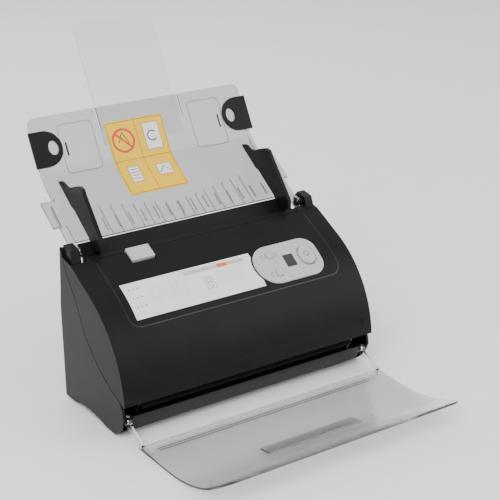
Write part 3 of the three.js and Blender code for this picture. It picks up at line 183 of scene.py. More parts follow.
FINISHES: dict[str, Finish] = {
    "textured_black_plastic": Finish(
        (0.0035, 0.0035, 0.004), (0.006, 0.006, 0.007), 0.38, relief=4e-5, shine=0.16
    ),
    "dark_grey_plastic": Finish(
        (0.0045, 0.0045, 0.005), (0.007, 0.007, 0.008), 0.40, relief=3e-5, shine=0.20
    ),
    "inner_black_plastic": Finish(
        (0.004, 0.004, 0.0045), (0.007, 0.007, 0.0075), 0.50, relief=2e-5, shine=0.16
    ),
    "guide_black_plastic": Finish(
        (0.003, 0.003, 0.0035), (0.005, 0.005, 0.0055), 0.33, relief=1e-5, shine=0.15
    ),
    "zinc_plated_steel": Finish(
        (0.62, 0.63, 0.64), (0.48, 0.50, 0.52), 0.30, 0.10, 1e-5, 900.0, Grain.BRUSHED, metallic=1.0
    ),
    "rubber": Finish((0.022, 0.021, 0.021), (0.040, 0.038, 0.037), 0.72, 0.10, 5e-5, 900.0),
    "acetal_white": Finish(
        (0.78, 0.77, 0.73), (0.68, 0.67, 0.63), 0.42, 0.05, 1e-5, 700.0, Grain.SATIN
    ),
    "circuit_board": Finish(
        (0.012, 0.105, 0.045), (0.30, 0.24, 0.10), 0.38, 0.08, 3e-5, 260.0, Grain.TRACKS
    ),
    "smoke_clear_plastic": Finish(
        (0.56, 0.56, 0.57), (0.52, 0.52, 0.53), 0.16, 0.03, 4e-6, 60.0, Grain.SATIN, transmission=1.0
    ),
    "frosted_clear_plastic": Finish(
        (0.97, 0.97, 0.98), (0.93, 0.94, 0.95), 0.34, 0.05, 1e-5, 1500.0, transmission=1.0
    ),
    "clear_plastic": Finish(
        (0.97, 0.98, 0.98), (0.95, 0.96, 0.96), 0.08, 0.03, 4e-6, 60.0, Grain.SATIN, transmission=1.0
    ),
    "yellow_label": Finish(
        (0.86, 0.52, 0.0), (0.80, 0.47, 0.0), 0.50, 0.05, 6e-6, 500.0, Grain.SATIN
    ),
    "panel_grey_plastic": Finish((0.50, 0.485, 0.46), (0.44, 0.425, 0.40), 0.46, relief=2e-5),
    "white_label": Finish(
        (0.80, 0.80, 0.79), (0.73, 0.73, 0.72), 0.34, 0.05, 6e-6, 500.0, Grain.SATIN
    ),
    "display_black": Finish(
        (0.006, 0.007, 0.008), (0.012, 0.013, 0.015), 0.14, 0.05, 2e-6, 200.0, Grain.SATIN, coat=0.8
    ),
    "sensor_glass": Finish(
        (0.80, 0.88, 0.86), (0.75, 0.84, 0.82), 0.03, 0.02, 1e-6, 40.0,
        Grain.SATIN, transmission=1.0, ior=1.52,
    ),
    "ink_grey": Finish(
        (0.20, 0.20, 0.21), (0.25, 0.25, 0.26), 0.40, 0.05, 4e-6, 900.0, Grain.SATIN
    ),
    "ink_pale": Finish(
        (0.46, 0.46, 0.47), (0.52, 0.52, 0.53), 0.38, 0.05, 4e-6, 900.0, Grain.SATIN
    ),
    "ink_dark": Finish(
        (0.003, 0.003, 0.003), (0.006, 0.006, 0.006), 0.42, 0.05, 4e-6, 900.0, Grain.SATIN, shine=0.1
    ),
    "ink_orange": Finish(
        (0.80, 0.16, 0.015), (0.72, 0.13, 0.012), 0.38, 0.05, 4e-6, 900.0, Grain.SATIN
    ),
    "ink_red": Finish(
        (0.68, 0.018, 0.014), (0.60, 0.014, 0.012), 0.38, 0.05, 4e-6, 900.0, Grain.SATIN
    ),
    "groove_black": Finish(
        (0.004, 0.004, 0.004), (0.008, 0.008, 0.008), 0.24, 0.04, 4e-6, 900.0, Grain.SATIN
    ),
    "studio_floor": Finish(
        (0.93, 0.93, 0.93), (0.90, 0.90, 0.90), 0.60, 0.05, 1e-4, 20.0, Grain.SATIN
    ),
}


class GroupBuilder:
    """Builds the shader node groups every finish shares."""

    def __init__(self) -> None:
        self._made: dict[str, bpy.types.NodeTree] = {}

    def _new(self, name: str, sockets: Sequence[tuple[str, str]], output: tuple[str, str]):
        """Starts a group.

        Args:
            name: the name of the group.
            sockets: input names with their socket types.
            output: the output name and its socket type.

        Returns:
            The tree, its input node and its output node.
        """
        tree = bpy.data.node_groups.new(name, "ShaderNodeTree")
        for label, kind in sockets:
            tree.interface.new_socket(label, in_out="INPUT", socket_type=kind)
        tree.interface.new_socket(output[0], in_out="OUTPUT", socket_type=output[1])
        self._made[name] = tree
        return tree, tree.nodes.new("NodeGroupInput"), tree.nodes.new("NodeGroupOutput")

    def drift(self) -> bpy.types.NodeTree:
        """Soft patches between two colours, broken up by fine specks.

        Returns:
            The node group.
        """
        if "colour_drift" in self._made:
            return self._made["colour_drift"]
        tree, given, result = self._new(
            "colour_drift",
            (("Vector", "NodeSocketVector"), ("Colour", "NodeSocketColor"), ("Shade", "NodeSocketColor")),
            ("Colour", "NodeSocketColor"),
        )
        broad = tree.nodes.new("ShaderNodeTexNoise")
        broad.inputs["Scale"].default_value = BROAD_PATCHES
        broad.inputs["Detail"].default_value = BROAD_DETAIL
        fine = tree.nodes.new("ShaderNodeTexNoise")
        fine.inputs["Scale"].default_value = FINE_SPECKS
        fine.inputs["Detail"].default_value = FINE_DETAIL
        total = tree.nodes.new("ShaderNodeMath")
        total.operation = "MULTIPLY"
        ramp = tree.nodes.new("ShaderNodeMapRange")
        ramp.inputs["From Min"].default_value = SHADE_FROM
        ramp.inputs["From Max"].default_value = SHADE_TO
        mix = tree.nodes.new("ShaderNodeMix")
        mix.data_type = "RGBA"
        link = tree.links.new
        for noise in (broad, fine):
            link(given.outputs["Vector"], noise.inputs["Vector"])
        link(broad.outputs["Fac"], total.inputs[0])
        link(fine.outputs["Fac"], total.inputs[1])
        link(total.outputs[0], ramp.inputs["Value"])
        link(ramp.outputs["Result"], mix.inputs["Factor"])
        link(given.outputs["Colour"], mix.inputs[6])
        link(given.outputs["Shade"], mix.inputs[7])
        link(mix.outputs[2], result.inputs["Colour"])
        return tree

    def handling(self) -> bpy.types.NodeTree:
        """Roughness that varies in patches, as handling leaves it.

        Returns:
            The node group.
        """
        if "handled_roughness" in self._made:
            return self._made["handled_roughness"]
        tree, given, result = self._new(
            "handled_roughness",
            (("Vector", "NodeSocketVector"), ("Roughness", "NodeSocketFloat"), ("Spread", "NodeSocketFloat")),
            ("Roughness", "NodeSocketFloat"),
        )
        noise = tree.nodes.new("ShaderNodeTexNoise")
        noise.inputs["Scale"].default_value = HANDLED_PATCHES
        noise.inputs["Detail"].default_value = HANDLED_DETAIL
        noise.inputs["Distortion"].default_value = HANDLED_DISTORTION
        swing = tree.nodes.new("ShaderNodeMath")
        swing.operation = "SUBTRACT"
        swing.inputs[1].default_value = NOISE_MIDDLE
        scaled = tree.nodes.new("ShaderNodeMath")
        scaled.operation = "MULTIPLY_ADD"
        link = tree.links.new
        link(given.outputs["Vector"], noise.inputs["Vector"])
        link(noise.outputs["Fac"], swing.inputs[0])
        link(swing.outputs[0], scaled.inputs[0])
        link(given.outputs["Spread"], scaled.inputs[1])
        link(given.outputs["Roughness"], scaled.inputs[2])
        link(scaled.outputs[0], result.inputs["Roughness"])
        return tree

    def relief(self, grain: Grain) -> bpy.types.NodeTree:
        """The relief of one kind of grain as a bumped normal.

        Args:
            grain: the kind of relief.

        Returns:
            The node group.
        """
        name = f"relief_{grain.value}"
        if name in self._made:
            return self._made[name]
        tree, given, result = self._new(
            name,
            (("Vector", "NodeSocketVector"), ("Pitch", "NodeSocketFloat"), ("Depth", "NodeSocketFloat")),
            ("Normal", "NodeSocketVector"),
        )
        link = tree.links.new
        bump = tree.nodes.new("ShaderNodeBump")
        bump.inputs["Strength"].default_value = BUMP_STRENGTH
        height, source = self._height(tree, grain)
        stretch = tree.nodes.new("ShaderNodeMapping")
        scale = BRUSHED_STRETCH if grain is Grain.BRUSHED else EVEN_STRETCH
        stretch.inputs["Scale"].default_value = scale
        link(given.outputs["Vector"], stretch.inputs["Vector"])
        link(stretch.outputs["Vector"], source.inputs["Vector"])
        link(given.outputs["Pitch"], source.inputs["Scale"])
        link(height, bump.inputs["Height"])
        link(given.outputs["Depth"], bump.inputs["Distance"])
        link(bump.outputs["Normal"], result.inputs["Normal"])
        return tree

    @staticmethod
    def _height(tree: bpy.types.NodeTree, grain: Grain):
        """The height field of a grain.

        Args:
            tree: the group being built.
            grain: the kind of relief.

        Returns:
            The height socket and the texture node that takes vector and scale.
        """
        if grain is Grain.SPARK:
            cells = tree.nodes.new("ShaderNodeTexVoronoi")
            cells.feature = "SMOOTH_F1"
            return cells.outputs["Distance"], cells
        if grain is Grain.TRACKS:
            cells = tree.nodes.new("ShaderNodeTexVoronoi")
            cells.feature = "DISTANCE_TO_EDGE"
            cells.distance = "EUCLIDEAN"
            return cells.outputs["Distance"], cells
        noise = tree.nodes.new("ShaderNodeTexNoise")
        noise.inputs["Detail"].default_value = SATIN_DETAIL
        return noise.outputs["Fac"], noise


class Paint:
    """Makes one procedural material for each finish, once."""

    def __init__(self) -> None:
        self._groups = GroupBuilder()
        self._made: dict[str, bpy.types.Material] = {}

    def material(self, name: str) -> bpy.types.Material:
        """The material of a finish.

        Args:
            name: a key of FINISHES.

        Returns:
            The material.
        """
        if name not in self._made:
            self._made[name] = self._build(name, FINISHES[name])
        return self._made[name]

    @staticmethod
    def _group(tree: bpy.types.NodeTree, group: bpy.types.NodeTree) -> bpy.types.Node:
        """Adds a group node to a material tree."""
        node = tree.nodes.new("ShaderNodeGroup")
        node.node_tree = group
        return node

    def _build(self, name: str, finish: Finish) -> bpy.types.Material:
        """Builds the node tree of a finish."""
        material = bpy.data.materials.new(name)
        material.use_nodes = True
        tree = material.node_tree
        link = tree.links.new
        surface = next(n for n in tree.nodes if n.type == "BSDF_PRINCIPLED")
        place = tree.nodes.new("ShaderNodeTexCoord").outputs["Object"]
        colour = self._group(tree, self._groups.drift())
        colour.inputs["Colour"].default_value = (*finish.colour, 1.0)
        colour.inputs["Shade"].default_value = (*finish.shade, 1.0)
        rough = self._group(tree, self._groups.handling())
        rough.inputs["Roughness"].default_value = finish.roughness
        rough.inputs["Spread"].default_value = finish.spread
        relief = self._group(tree, self._groups.relief(finish.grain))
        relief.inputs["Pitch"].default_value = finish.pitch
        relief.inputs["Depth"].default_value = finish.relief
        for node in (colour, rough, relief):
            link(place, node.inputs["Vector"])
        link(colour.outputs["Colour"], surface.inputs["Base Color"])
        link(rough.outputs["Roughness"], surface.inputs["Roughness"])
        link(relief.outputs["Normal"], surface.inputs["Normal"])
        surface.inputs["Metallic"].default_value = finish.metallic
        surface.inputs["Transmission Weight"].default_value = finish.transmission
        surface.inputs["IOR"].default_value = finish.ior
        surface.inputs["Coat Weight"].default_value = finish.coat
        surface.inputs["Specular IOR Level"].default_value = finish.shine
        return material


PAINT = Paint()


# --------------------------------------------------------------------------- pieces


def record_parts() -> dict[str, tuple[str, str]]:
    """The body and the material slot of every node.

    Returns:
        A map from node name to its body and slot.
    """
    record = frame["record"]
    slots = {part["node"]: part["material_slot"] for part in record["subparts"]}
    return {name: (node["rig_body"], slots[name]) for name, node in frame["nodes"].items()}


class MouldedPiece:
    """A visual piece that follows a CAD node, with eased edges unless it is clear."""

    def __init__(self, node: str, body: str, slot: str, edge: float) -> None:
        """Stores what the piece follows.

        Args:
            node: the CAD node.
            body: the body it rides on.
            slot: the material slot of the record.
            edge: the edge radius in metres.
        """
        self.node = node
        self.body = body
        self.slot = slot
        self.edge = edge

    def build(self) -> bpy.types.Object:
        """Makes the piece.

        Returns:
            The finished object, riding on its body.
        """
        mesh = frame["nodes"][self.node].data.copy()
        mesh.name = f"{self.node}_look"
        mesh.materials.clear()
        self._clean(mesh, FINISHES[self.slot].transmission > 0)
        raw = bpy.data.objects.new(f"{self.node}_raw", mesh)
        bpy.context.scene.collection.objects.link(raw)
        if not FINISHES[self.slot].transmission:
            self._ease(raw)
        depsgraph = bpy.context.evaluated_depsgraph_get()
        finished = bpy.data.meshes.new_from_object(raw.evaluated_get(depsgraph))
        bpy.data.objects.remove(raw)
        piece = bpy.data.objects.new(f"{self.node}_look", finished)
        bpy.context.scene.collection.objects.link(piece)
        piece.data.materials.clear()
        piece.data.materials.append(PAINT.material(self.slot))
        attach(piece, self.body)
        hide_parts(self.node)
        return piece

    @staticmethod
    def _clean(mesh: bpy.types.Mesh, clear: bool) -> None:
        """Joins the corners, and the facets that lie in one plane.

        Args:
            mesh: the mesh to clean in place.
            clear: true for a clear moulding, which keeps its facets, flat.
        """
        shape = bmesh.new()
        shape.from_mesh(mesh)
        bmesh.ops.remove_doubles(shape, verts=shape.verts, dist=JOIN_DISTANCE)
        if not clear:
            bmesh.ops.dissolve_limit(
                shape, angle_limit=math.radians(FLAT_ANGLE), verts=shape.verts, edges=shape.edges,
                use_dissolve_boundaries=False,
            )
        bmesh.ops.recalc_face_normals(shape, faces=shape.faces)
        for face in shape.faces:
            face.smooth = not clear
        sharp = math.radians(SHARP_ANGLE)
        for edge in shape.edges:
            edge.smooth = len(edge.link_faces) == 2 and edge.calc_face_angle(0.0) < sharp
        shape.to_mesh(mesh)
        shape.free()

    def _ease(self, raw: bpy.types.Object) -> None:
        """Gives the sharp edges of an opaque piece a small radius.

        Args:
            raw: the object that holds the cleaned mesh.
        """
        bevel = raw.modifiers.new("edge", "BEVEL")
        bevel.width = self.edge
        bevel.segments = EASED_SEGMENTS
        bevel.limit_method = "ANGLE"
        bevel.angle_limit = math.radians(EASED_ANGLE)
        bevel.use_clamp_overlap = True
        bevel.harden_normals = True
        bevel.miter_outer = "MITER_ARC"


class Surface:
    """The upper face of a node that is drawn out along X, laid flat for printing on.

    A place on it is x across the scanner and v down the face from its top edge, both in millimetres.
    """

    STEPS = 160

    def __init__(self, node: str, x: float | None = None) -> None:
        """Samples the profile.

        Args:
            node: the CAD node.
            x: where to take the profile in millimetres, or None for the middle.
        """
        mesh = frame["nodes"][node].data
        tree = BVHTree.FromPolygons([v.co for v in mesh.vertices], [tuple(p.vertices) for p in mesh.polygons])
        low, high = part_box(node)
        self.left, self.right = low.x / MM, high.x / MM
        across = (low.x + high.x) / 2 if x is None else x * MM
        self._profile: list[tuple[float, Vector, Vector]] = []
        self._sample(tree, across, low, high)
        self.length = self._profile[-1][0]

    def _sample(self, tree: BVHTree, across: float, low: Vector, high: Vector) -> None:
        """Walks down the face and stores distance, place and normal."""
        down = Vector((0.0, 0.0, -1.0))
        last: Vector | None = None
        travelled = 0.0
        for step in range(self.STEPS + 1):
            share = (step + 0.5) / (self.STEPS + 1)
            y = high.y + (low.y - high.y) * share
            place, normal, _, _ = tree.ray_cast(Vector((across, y, high.z + CAST_HEIGHT)), down)
            if place is None:
                continue
            if last is not None:
                travelled += (place - last).length / MM
            last = place.copy()
            self._profile.append((travelled, place.copy(), normal.copy()))

    def down_at(self, y: float) -> float:
        """How far down the face the sampled place nearest to a depth is.

        Args:
            y: the depth in metres.

        Returns:
            The distance from the top edge in millimetres.
        """
        return min(self._profile, key=lambda row: abs(row[1].y - y))[0]

    def at(self, x: float, v: float, lift: float) -> Vector:
        """A place on the face.

        Args:
            x: across, in millimetres.
            v: down from the top edge, in millimetres.
            lift: how far above the face, in millimetres.

        Returns:
            The place in metres.
        """
        rows = self._profile
        v = min(max(v, 0.0), self.length)
        upper = next((i for i, row in enumerate(rows) if row[0] >= v), len(rows) - 1)
        lower = max(upper - 1, 0)
        gap = rows[upper][0] - rows[lower][0]
        share = (v - rows[lower][0]) / gap if gap > 0 else 0.0
        place = rows[lower][1].lerp(rows[upper][1], share)
        normal = rows[lower][2].lerp(rows[upper][2], share).normalized()
        place = place + normal * lift * MM
        return Vector((x * MM, place.y, place.z))


class Print:
    """Flat marks of one finish laid on a surface."""

    def __init__(self, name: str, surface: Surface, finish: str, lift: float = BASE_LIFT) -> None:
        """Starts an empty set of marks.

        Args:
            name: the name of the piece.
            surface: the face it lies on.
            finish: a key of FINISHES.
            lift: height above the face in millimetres.
        """
        self.name = name
        self.surface = surface
        self.finish = finish
        self.lift = lift
        self._shape = bmesh.new()

    def _face(self, outline: Iterable[Point]) -> None:
        """Adds one face whose corners run round an outline."""
        corners = [self._shape.verts.new(self.surface.at(x, v, self.lift)) for x, v in outline]
        self._shape.faces.new(corners)

    def box(self, x0: float, v0: float, x1: float, v1: float) -> "Print":
        """A filled rectangle in rows short enough to follow a curved face."""
        rows = max(1, math.ceil(abs(v1 - v0) / ROW_STEP))
        for row in range(rows):
            a = v0 + (v1 - v0) * row / rows
            b = v0 + (v1 - v0) * (row + 1) / rows
            self._face(((x0, a), (x0, b), (x1, b), (x1, a)))
        return self

    def disc(self, x: float, v: float, radius: float, count: int = 28) -> "Print":
        """A filled circle."""
        turn = [math.tau * i / count for i in range(count)]
        self._face([(x + radius * math.cos(a), v + radius * math.sin(a)) for a in turn])
        return self

    def line(self, points: Sequence[Point], width: float, closed: bool = False) -> "Print":
        """A line of even width through the points.

        Args:
            points: the places it runs through.
            width: its width in millimetres.
            closed: whether it returns to its start.

        Returns:
            This set of marks.
        """
        path = list(points)
        count = len(path)
        edges: list[tuple[Point, Point]] = []
        for i, (x, v) in enumerate(path):
            before = path[(i - 1) % count] if closed or i > 0 else path[i]
            after = path[(i + 1) % count] if closed or i < count - 1 else path[i]
            along = Vector((after[0] - before[0], after[1] - before[1]))
            along.normalize()
            side = Vector((-along.y, along.x)) * width / 2
            edges.append(((x + side.x, v + side.y), (x - side.x, v - side.y)))
        last = count if closed else count - 1
        for i in range(last):
            a, b = edges[i], edges[(i + 1) % count]
            self._face((a[0], a[1], b[1], b[0]))
        return self

    def finish_on(self, body: str) -> bpy.types.Object:
        """Ends the set and lets it ride on a body.

        Args:
            body: the body it rides on.

        Returns:
            The piece.
        """
        bmesh.ops.recalc_face_normals(self._shape, faces=self._shape.faces)
        for face in self._shape.faces:
            face.normal_update()
            if face.normal.z < 0:
                face.normal_flip()
        mesh = bpy.data.meshes.new(self.name)
        self._shape.to_mesh(mesh)
        self._shape.free()
        piece = bpy.data.objects.new(self.name, mesh)
        bpy.context.scene.collection.objects.link(piece)
        mesh.materials.append(PAINT.material(self.finish))
        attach(piece, body)
        return piece


def rounded_box(x0: float, v0: float, x1: float, v1: float, radius: float) -> list[Point]:
    """The outline of a rectangle with round corners.

    Args:
        x0: left side.
        v0: top side.
        x1: right side.
        v1: bottom side.
        radius: radius of the corners.

    Returns:
        The points in order, in steps short enough for a curved face.
    """
    points: list[Point] = []
    centres = (
        (x1 - radius, v0 + radius),
        (x1 - radius, v1 - radius),
        (x0 + radius, v1 - radius),
        (x0 + radius, v0 + radius),
    )
    for index, (cx, cv) in enumerate(centres):
        start = -math.pi / 2 + index * math.pi / 2
        for step in range(CORNER_STEPS + 1):
            angle = start + step * math.pi / 2 / CORNER_STEPS
            points.append((cx + radius * math.cos(angle), cv + radius * math.sin(angle)))
    return refine(points, CURVE_STEP, closed=True)


def refine(points: Sequence[Point], step: float, closed: bool = False) -> list[Point]:
    """Adds points so that no stretch is longer than a step."""
    result: list[Point] = []
    last = len(points) if closed else len(points) - 1
    for i in range(last):
        (ax, av), (bx, bv) = points[i], points[(i + 1) % len(points)]
        parts = max(1, math.ceil(math.hypot(bx - ax, bv - av) / step))
        result += [(ax + (bx - ax) * k / parts, av + (bv - av) * k / parts) for k in range(parts)]
    if not closed:
        result.append(points[-1])
    return result


def arc(x: float, v: float, radius: float, start: float, end: float, count: int = 16) -> list[Point]:
    """Points along an arc, with the angles in degrees from the x axis towards v."""
    turns = [math.radians(start + (end - start) * i / count) for i in range(count + 1)]
    return [(x + radius * math.cos(a), v + radius * math.sin(a)) for a in turns]


# a rib's outline as shares of its width and height; its foot is sunk into the face
RIB_SECTION: tuple[Point, ...] = (
    (-0.5, -0.2), (-0.5, 0.7), (-0.28, 1.0), (0.28, 1.0), (0.5, 0.7), (0.5, -0.2)
)


def raised_bars(
    name: str,
    surface: Surface,
    bars: Sequence[tuple[Point, Point]],
    wide: float,
    tall: float,
    slot: str,
    body: str,
) -> bpy.types.Object:
    """Low ribs on a face, each a bar with a softened top.

    Args:
        name: the name of the piece.
        surface: the face they stand on.
        bars: the two ends of each rib.
        wide: width of a rib in millimetres.
        tall: height of a rib in millimetres.
        slot: the material slot.
        body: the body they ride on.

    Returns:
        The piece.
    """
    shape = bmesh.new()
    for start, end in bars:
        path = refine((start, end), RIB_STEP)
        along = Vector((end[0] - start[0], end[1] - start[1])).normalized()
        side = Vector((-along.y, along.x))
        rings = []
        for x, v in path:
            rings.append([
                shape.verts.new(surface.at(x + side.x * a * wide, v + side.y * a * wide, b * tall))
                for a, b in RIB_SECTION
            ])
        for first, second in zip(rings, rings[1:]):
            for i in range(len(RIB_SECTION)):
                j = (i + 1) % len(RIB_SECTION)
                shape.faces.new((first[i], first[j], second[j], second[i]))
        shape.faces.new(rings[0])
        shape.faces.new(list(reversed(rings[-1])))
    bmesh.ops.recalc_face_normals(shape, faces=shape.faces)
    mesh = bpy.data.meshes.new(name)
    shape.to_mesh(mesh)
    shape.free()
    piece = bpy.data.objects.new(name, mesh)
    bpy.context.scene.collection.objects.link(piece)
    mesh.materials.append(PAINT.material(slot))
    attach(piece, body)
    return piece


# --------------------------------------------------------------------------- sub-assemblies


@dataclass(frozen=True)
class EdgeSizes:
    """Edge radii in metres of the pieces that need another than the usual one."""

    usual: float = 0.0003
    special: dict[str, float] = field(default_factory=lambda: {
        "cover_shell": 0.0006, "side_panel_left": 0.0009, "side_panel_right": 0.0009, "rear_cover": 0.0008,
        "label_strip": 0.00005, "chute_label": 0.00005, "display_window": 0.0001, "control_panel": 0.0002,
        "output_tray": 0.0005, "tray_stopper": 0.0004, "chute": 0.0005, "chute_extension": 0.0005,
        "release_tab": 0.0006, "scan_button": 0.0003, "hinge_block_left": 0.0008, "hinge_block_right": 0.0008,
        "paper_guide_left": 0.0008, "paper_guide_right": 0.0008,
    })

    def of(self, node: str) -> float:
        """The edge radius of a node."""
        return self.special.get(node, self.usual)


class Mouldings:
    """Every CAD node's visual piece."""

    def __init__(self, edges: EdgeSizes = EdgeSizes()) -> None:
        self.edges = edges

    def build(self) -> None:
        """Makes one eased piece for each node."""
        for node, (body, slot) in sorted(record_parts().items()):
            MouldedPiece(node, body, slot, self.edges.of(node)).build()


@dataclass(frozen=True)
class Outline:
    """A rounded outline in millimetres.

    Args:
        box: left, top, right and bottom.
        radius: radius of the corners.
        width: width of the line.
    """

    box: Box
    radius: float
    width: float

    def draw(self, marks: Print, x: float) -> None:
        """Adds the outline to a set of marks.

        Args:
            marks: the set of marks.
            x: how far the outline is moved across.
        """
        x0, v0, x1, v1 = self.box
        marks.line(rounded_box(x0 + x, v0, x1 + x, v1, self.radius), self.width, True)


@dataclass(frozen=True)
class CoverSizes:
    """Sizes of the groove on the cover in millimetres."""

    profile_at: float = -148.0
    groove: float = 0.9
    groove_top: float = 5.0
    groove_bottom: float = 97.0
    groove_left: float = -136.0
    groove_right: float = 142.0
    groove_radius: float = 14.0
    groove_steps: int = 8


@dataclass(frozen=True)
class StripSizes:
    """Places of the marks on the white strip in millimetres, from its left end and its top edge."""

    profile_at: float = -100.0
    dot_first: Point = (7.0, 10.0)
    dot_step: Point = (5.2, 11.5)
    dots_each_way: int = 3
    dot_radius: float = 1.0
    dot_sides: int = 14
    figure: tuple[Outline, ...] = (
        Outline((96.0, 18.0, 107.0, 33.0), 1.2, 0.5),
        Outline((99.2, 20.0, 103.8, 25.0), 1.6, 0.8),
        Outline((98.8, 25.0, 104.2, 31.0), 1.9, 0.8),
    )
    bar: Box = (77.0, 4.5, 156.0, 9.5)
    patch: Box = (121.0, 4.5, 133.0, 9.5)
    plain_starts: tuple[float, ...] = (30.0, 46.0, 62.0)
    plain_sheet: Outline = Outline((0.0, 13.0, 11.0, 29.0), 1.0, 0.35)
    underline: tuple[Point, Point] = ((2.0, 33.0), (9.0, 33.0))
    underline_width: float = 0.5
    lined_starts: tuple[float, ...] = (116.0, 133.0)
    lined_sheet: Outline = Outline((0.0, 15.0, 12.0, 31.0), 1.0, 0.35)
    rows: int = 3
    row_first: float = 19.0
    row_step: float = 3.5
    row_ends: Point = (2.5, 9.5)
    row_width: float = 0.4


@dataclass(frozen=True)
class PanelSizes:
    """Sizes of the marks on the control panel and the scan button in millimetres."""

    profile_at: float = 50.0
    icons: tuple[tuple[str, float], ...] = (
        ("page_up_button", -9.5),
        ("page_down_button", -9.5),
        ("page_up_button", 8.0),
    )
    icon_half: Point = (1.8, 2.4)
    icon_radius: float = 0.5
    icon_line: float = 0.32
    dash_half: float = 0.9
    dash_line: float = 0.3
    ring_room: Point = (1.6, 3.0)
    ring_extra_radius: float = 1.2
    ring_line: float = 0.4
    sign_radius: float = 3.2
    sign_turn: Point = (-60.0, 240.0)
    sign_steps: int = 20
    sign_stem: float = 4.2
    sign_line: float = 0.6


class Cover:
    """The cover's groove, label strip and control panel marks."""

    BODY = "cover"
    BUTTON_BODY = "scan_button"

    def __init__(
        self,
        sizes: CoverSizes = CoverSizes(),
        strip: StripSizes = StripSizes(),
        panel: PanelSizes = PanelSizes(),
    ) -> None:
        self.sizes = sizes
        self.strip = strip
        self.panel = panel

    def build(self) -> None:
        """Makes the cover's details."""
        self._groove()
        self._strip()
        self._panel()
        self._button_sign()

    def _groove(self) -> None:
        """The groove that frames the upper part of the cover."""
        s = self.sizes
        face = Surface("cover_shell", s.profile_at)
        r = s.groove_radius
        path = [(s.groove_left, s.groove_top)]
        path += arc(s.groove_left + r, s.groove_bottom - r, r, 180, 90, s.groove_steps)
        path += arc(s.groove_right - r, s.groove_bottom - r, r, 90, 0, s.groove_steps)
        path.append((s.groove_right, s.groove_top))
        marks = Print("cover_groove", face, "groove_black", GROOVE_LIFT)
        marks.line(refine(path, CURVE_STEP), s.groove).finish_on(self.BODY)

    def _strip(self) -> None:
        """Marks on the strip: dots, a boxed figure, a bar with a patch, and faint outlines of sheets."""
        s = self.strip
        face = Surface("label_strip", s.profile_at)
        left = face.left
        dots = Print("strip_dots", face, "ink_grey")
        for column in range(s.dots_each_way):
            for row in range(s.dots_each_way):
                x = left + s.dot_first[0] + column * s.dot_step[0]
                v = s.dot_first[1] + row * s.dot_step[1]
                dots.disc(x, v, s.dot_radius, s.dot_sides)
        for outline in s.figure:
            outline.draw(dots, left)
        dots.finish_on(self.BODY)
        bar = Print("strip_bar", face, "ink_pale")
        bar.box(left + s.bar[0], s.bar[1], left + s.bar[2], s.bar[3])
        for offset in s.plain_starts:
            start = left + offset
            s.plain_sheet.draw(bar, start)
            ends = [(start + x, v) for x, v in s.underline]
            bar.line(refine(ends, CURVE_STEP), s.underline_width)
        for offset in s.lined_starts:
            start = left + offset
            s.lined_sheet.draw(bar, start)
            for row in range(s.rows):
                v = s.row_first + row * s.row_step
                bar.line([(start + x, v) for x in s.row_ends], s.row_width)
        bar.finish_on(self.BODY)
        patch = Print("strip_patch", face, "ink_orange", SECOND_LIFT)
        patch.box(left + s.patch[0], s.patch[1], left + s.patch[2], s.patch[3])
        patch.finish_on(self.BODY)

    def _panel(self) -> None:
        """Icons beside the page buttons and the ring round the scan button."""
        s = self.panel
        face = Surface("control_panel", s.profile_at)
        marks = Print("panel_icons", face, "ink_dark")
        wide, tall = s.icon_half
        for name, shift in s.icons:
            x, v = self._place(face, name)
            x += shift
            icon = rounded_box(x - wide, v - tall, x + wide, v + tall, s.icon_radius)
            marks.line(icon, s.icon_line, True)
            marks.line(((x - s.dash_half, v), (x + s.dash_half, v)), s.dash_line)
        low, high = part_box("scan_button")
        half = (high.x - low.x) / MM / 2
        x, v = self._place(face, "scan_button")
        wide, tall = half + s.ring_room[0], half + s.ring_room[1]
        ring = rounded_box(x - wide, v - tall, x + wide, v + tall, half + s.ring_extra_radius)
        marks.line(ring, s.ring_line, True)
        marks.finish_on(self.BODY)

    def _button_sign(self) -> None:
        """An open ring with a stem on the scan button."""
        s = self.panel
        face = Surface("scan_button")
        x, v = (face.left + face.right) / 2, face.length / 2
        sign = Print("scan_button_sign", face, "ink_dark")
        sign.line(arc(x, v, s.sign_radius, *s.sign_turn, s.sign_steps), s.sign_line)
        sign.line(((x, v - s.sign_stem), (x, v)), s.sign_line)
        sign.finish_on(self.BUTTON_BODY)

    @staticmethod
    def _place(face: Surface, node: str) -> Point:
        """Where a button sits on the panel's face.

        Args:
            face: the panel's face.
            node: the button.

        Returns:
            Its place across and down the face, in millimetres.
        """
        low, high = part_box(node)
        middle = (low + high) / 2
        return middle.x / MM, face.down_at(middle.y)


@dataclass(frozen=True)
class ChuteSizes:
    """Sizes of the raised details of the feed chute in millimetres."""

    ribs: int = 15
    rib_length: float = 17.0
    rib_span: float = 232.0
    rib_foot: float = 4.0
    rib_wide: float = 2.0
    rib_tall: float = 0.9
    frame_wide: float = 44.0
    frame_long: float = 58.0
    frame_radius: float = 5.0
    frame_line: float = 1.0
    frame_tall: float = 0.5
    slot_in: float = 6.0
    slot_half: Point = (1.0, 8.0)


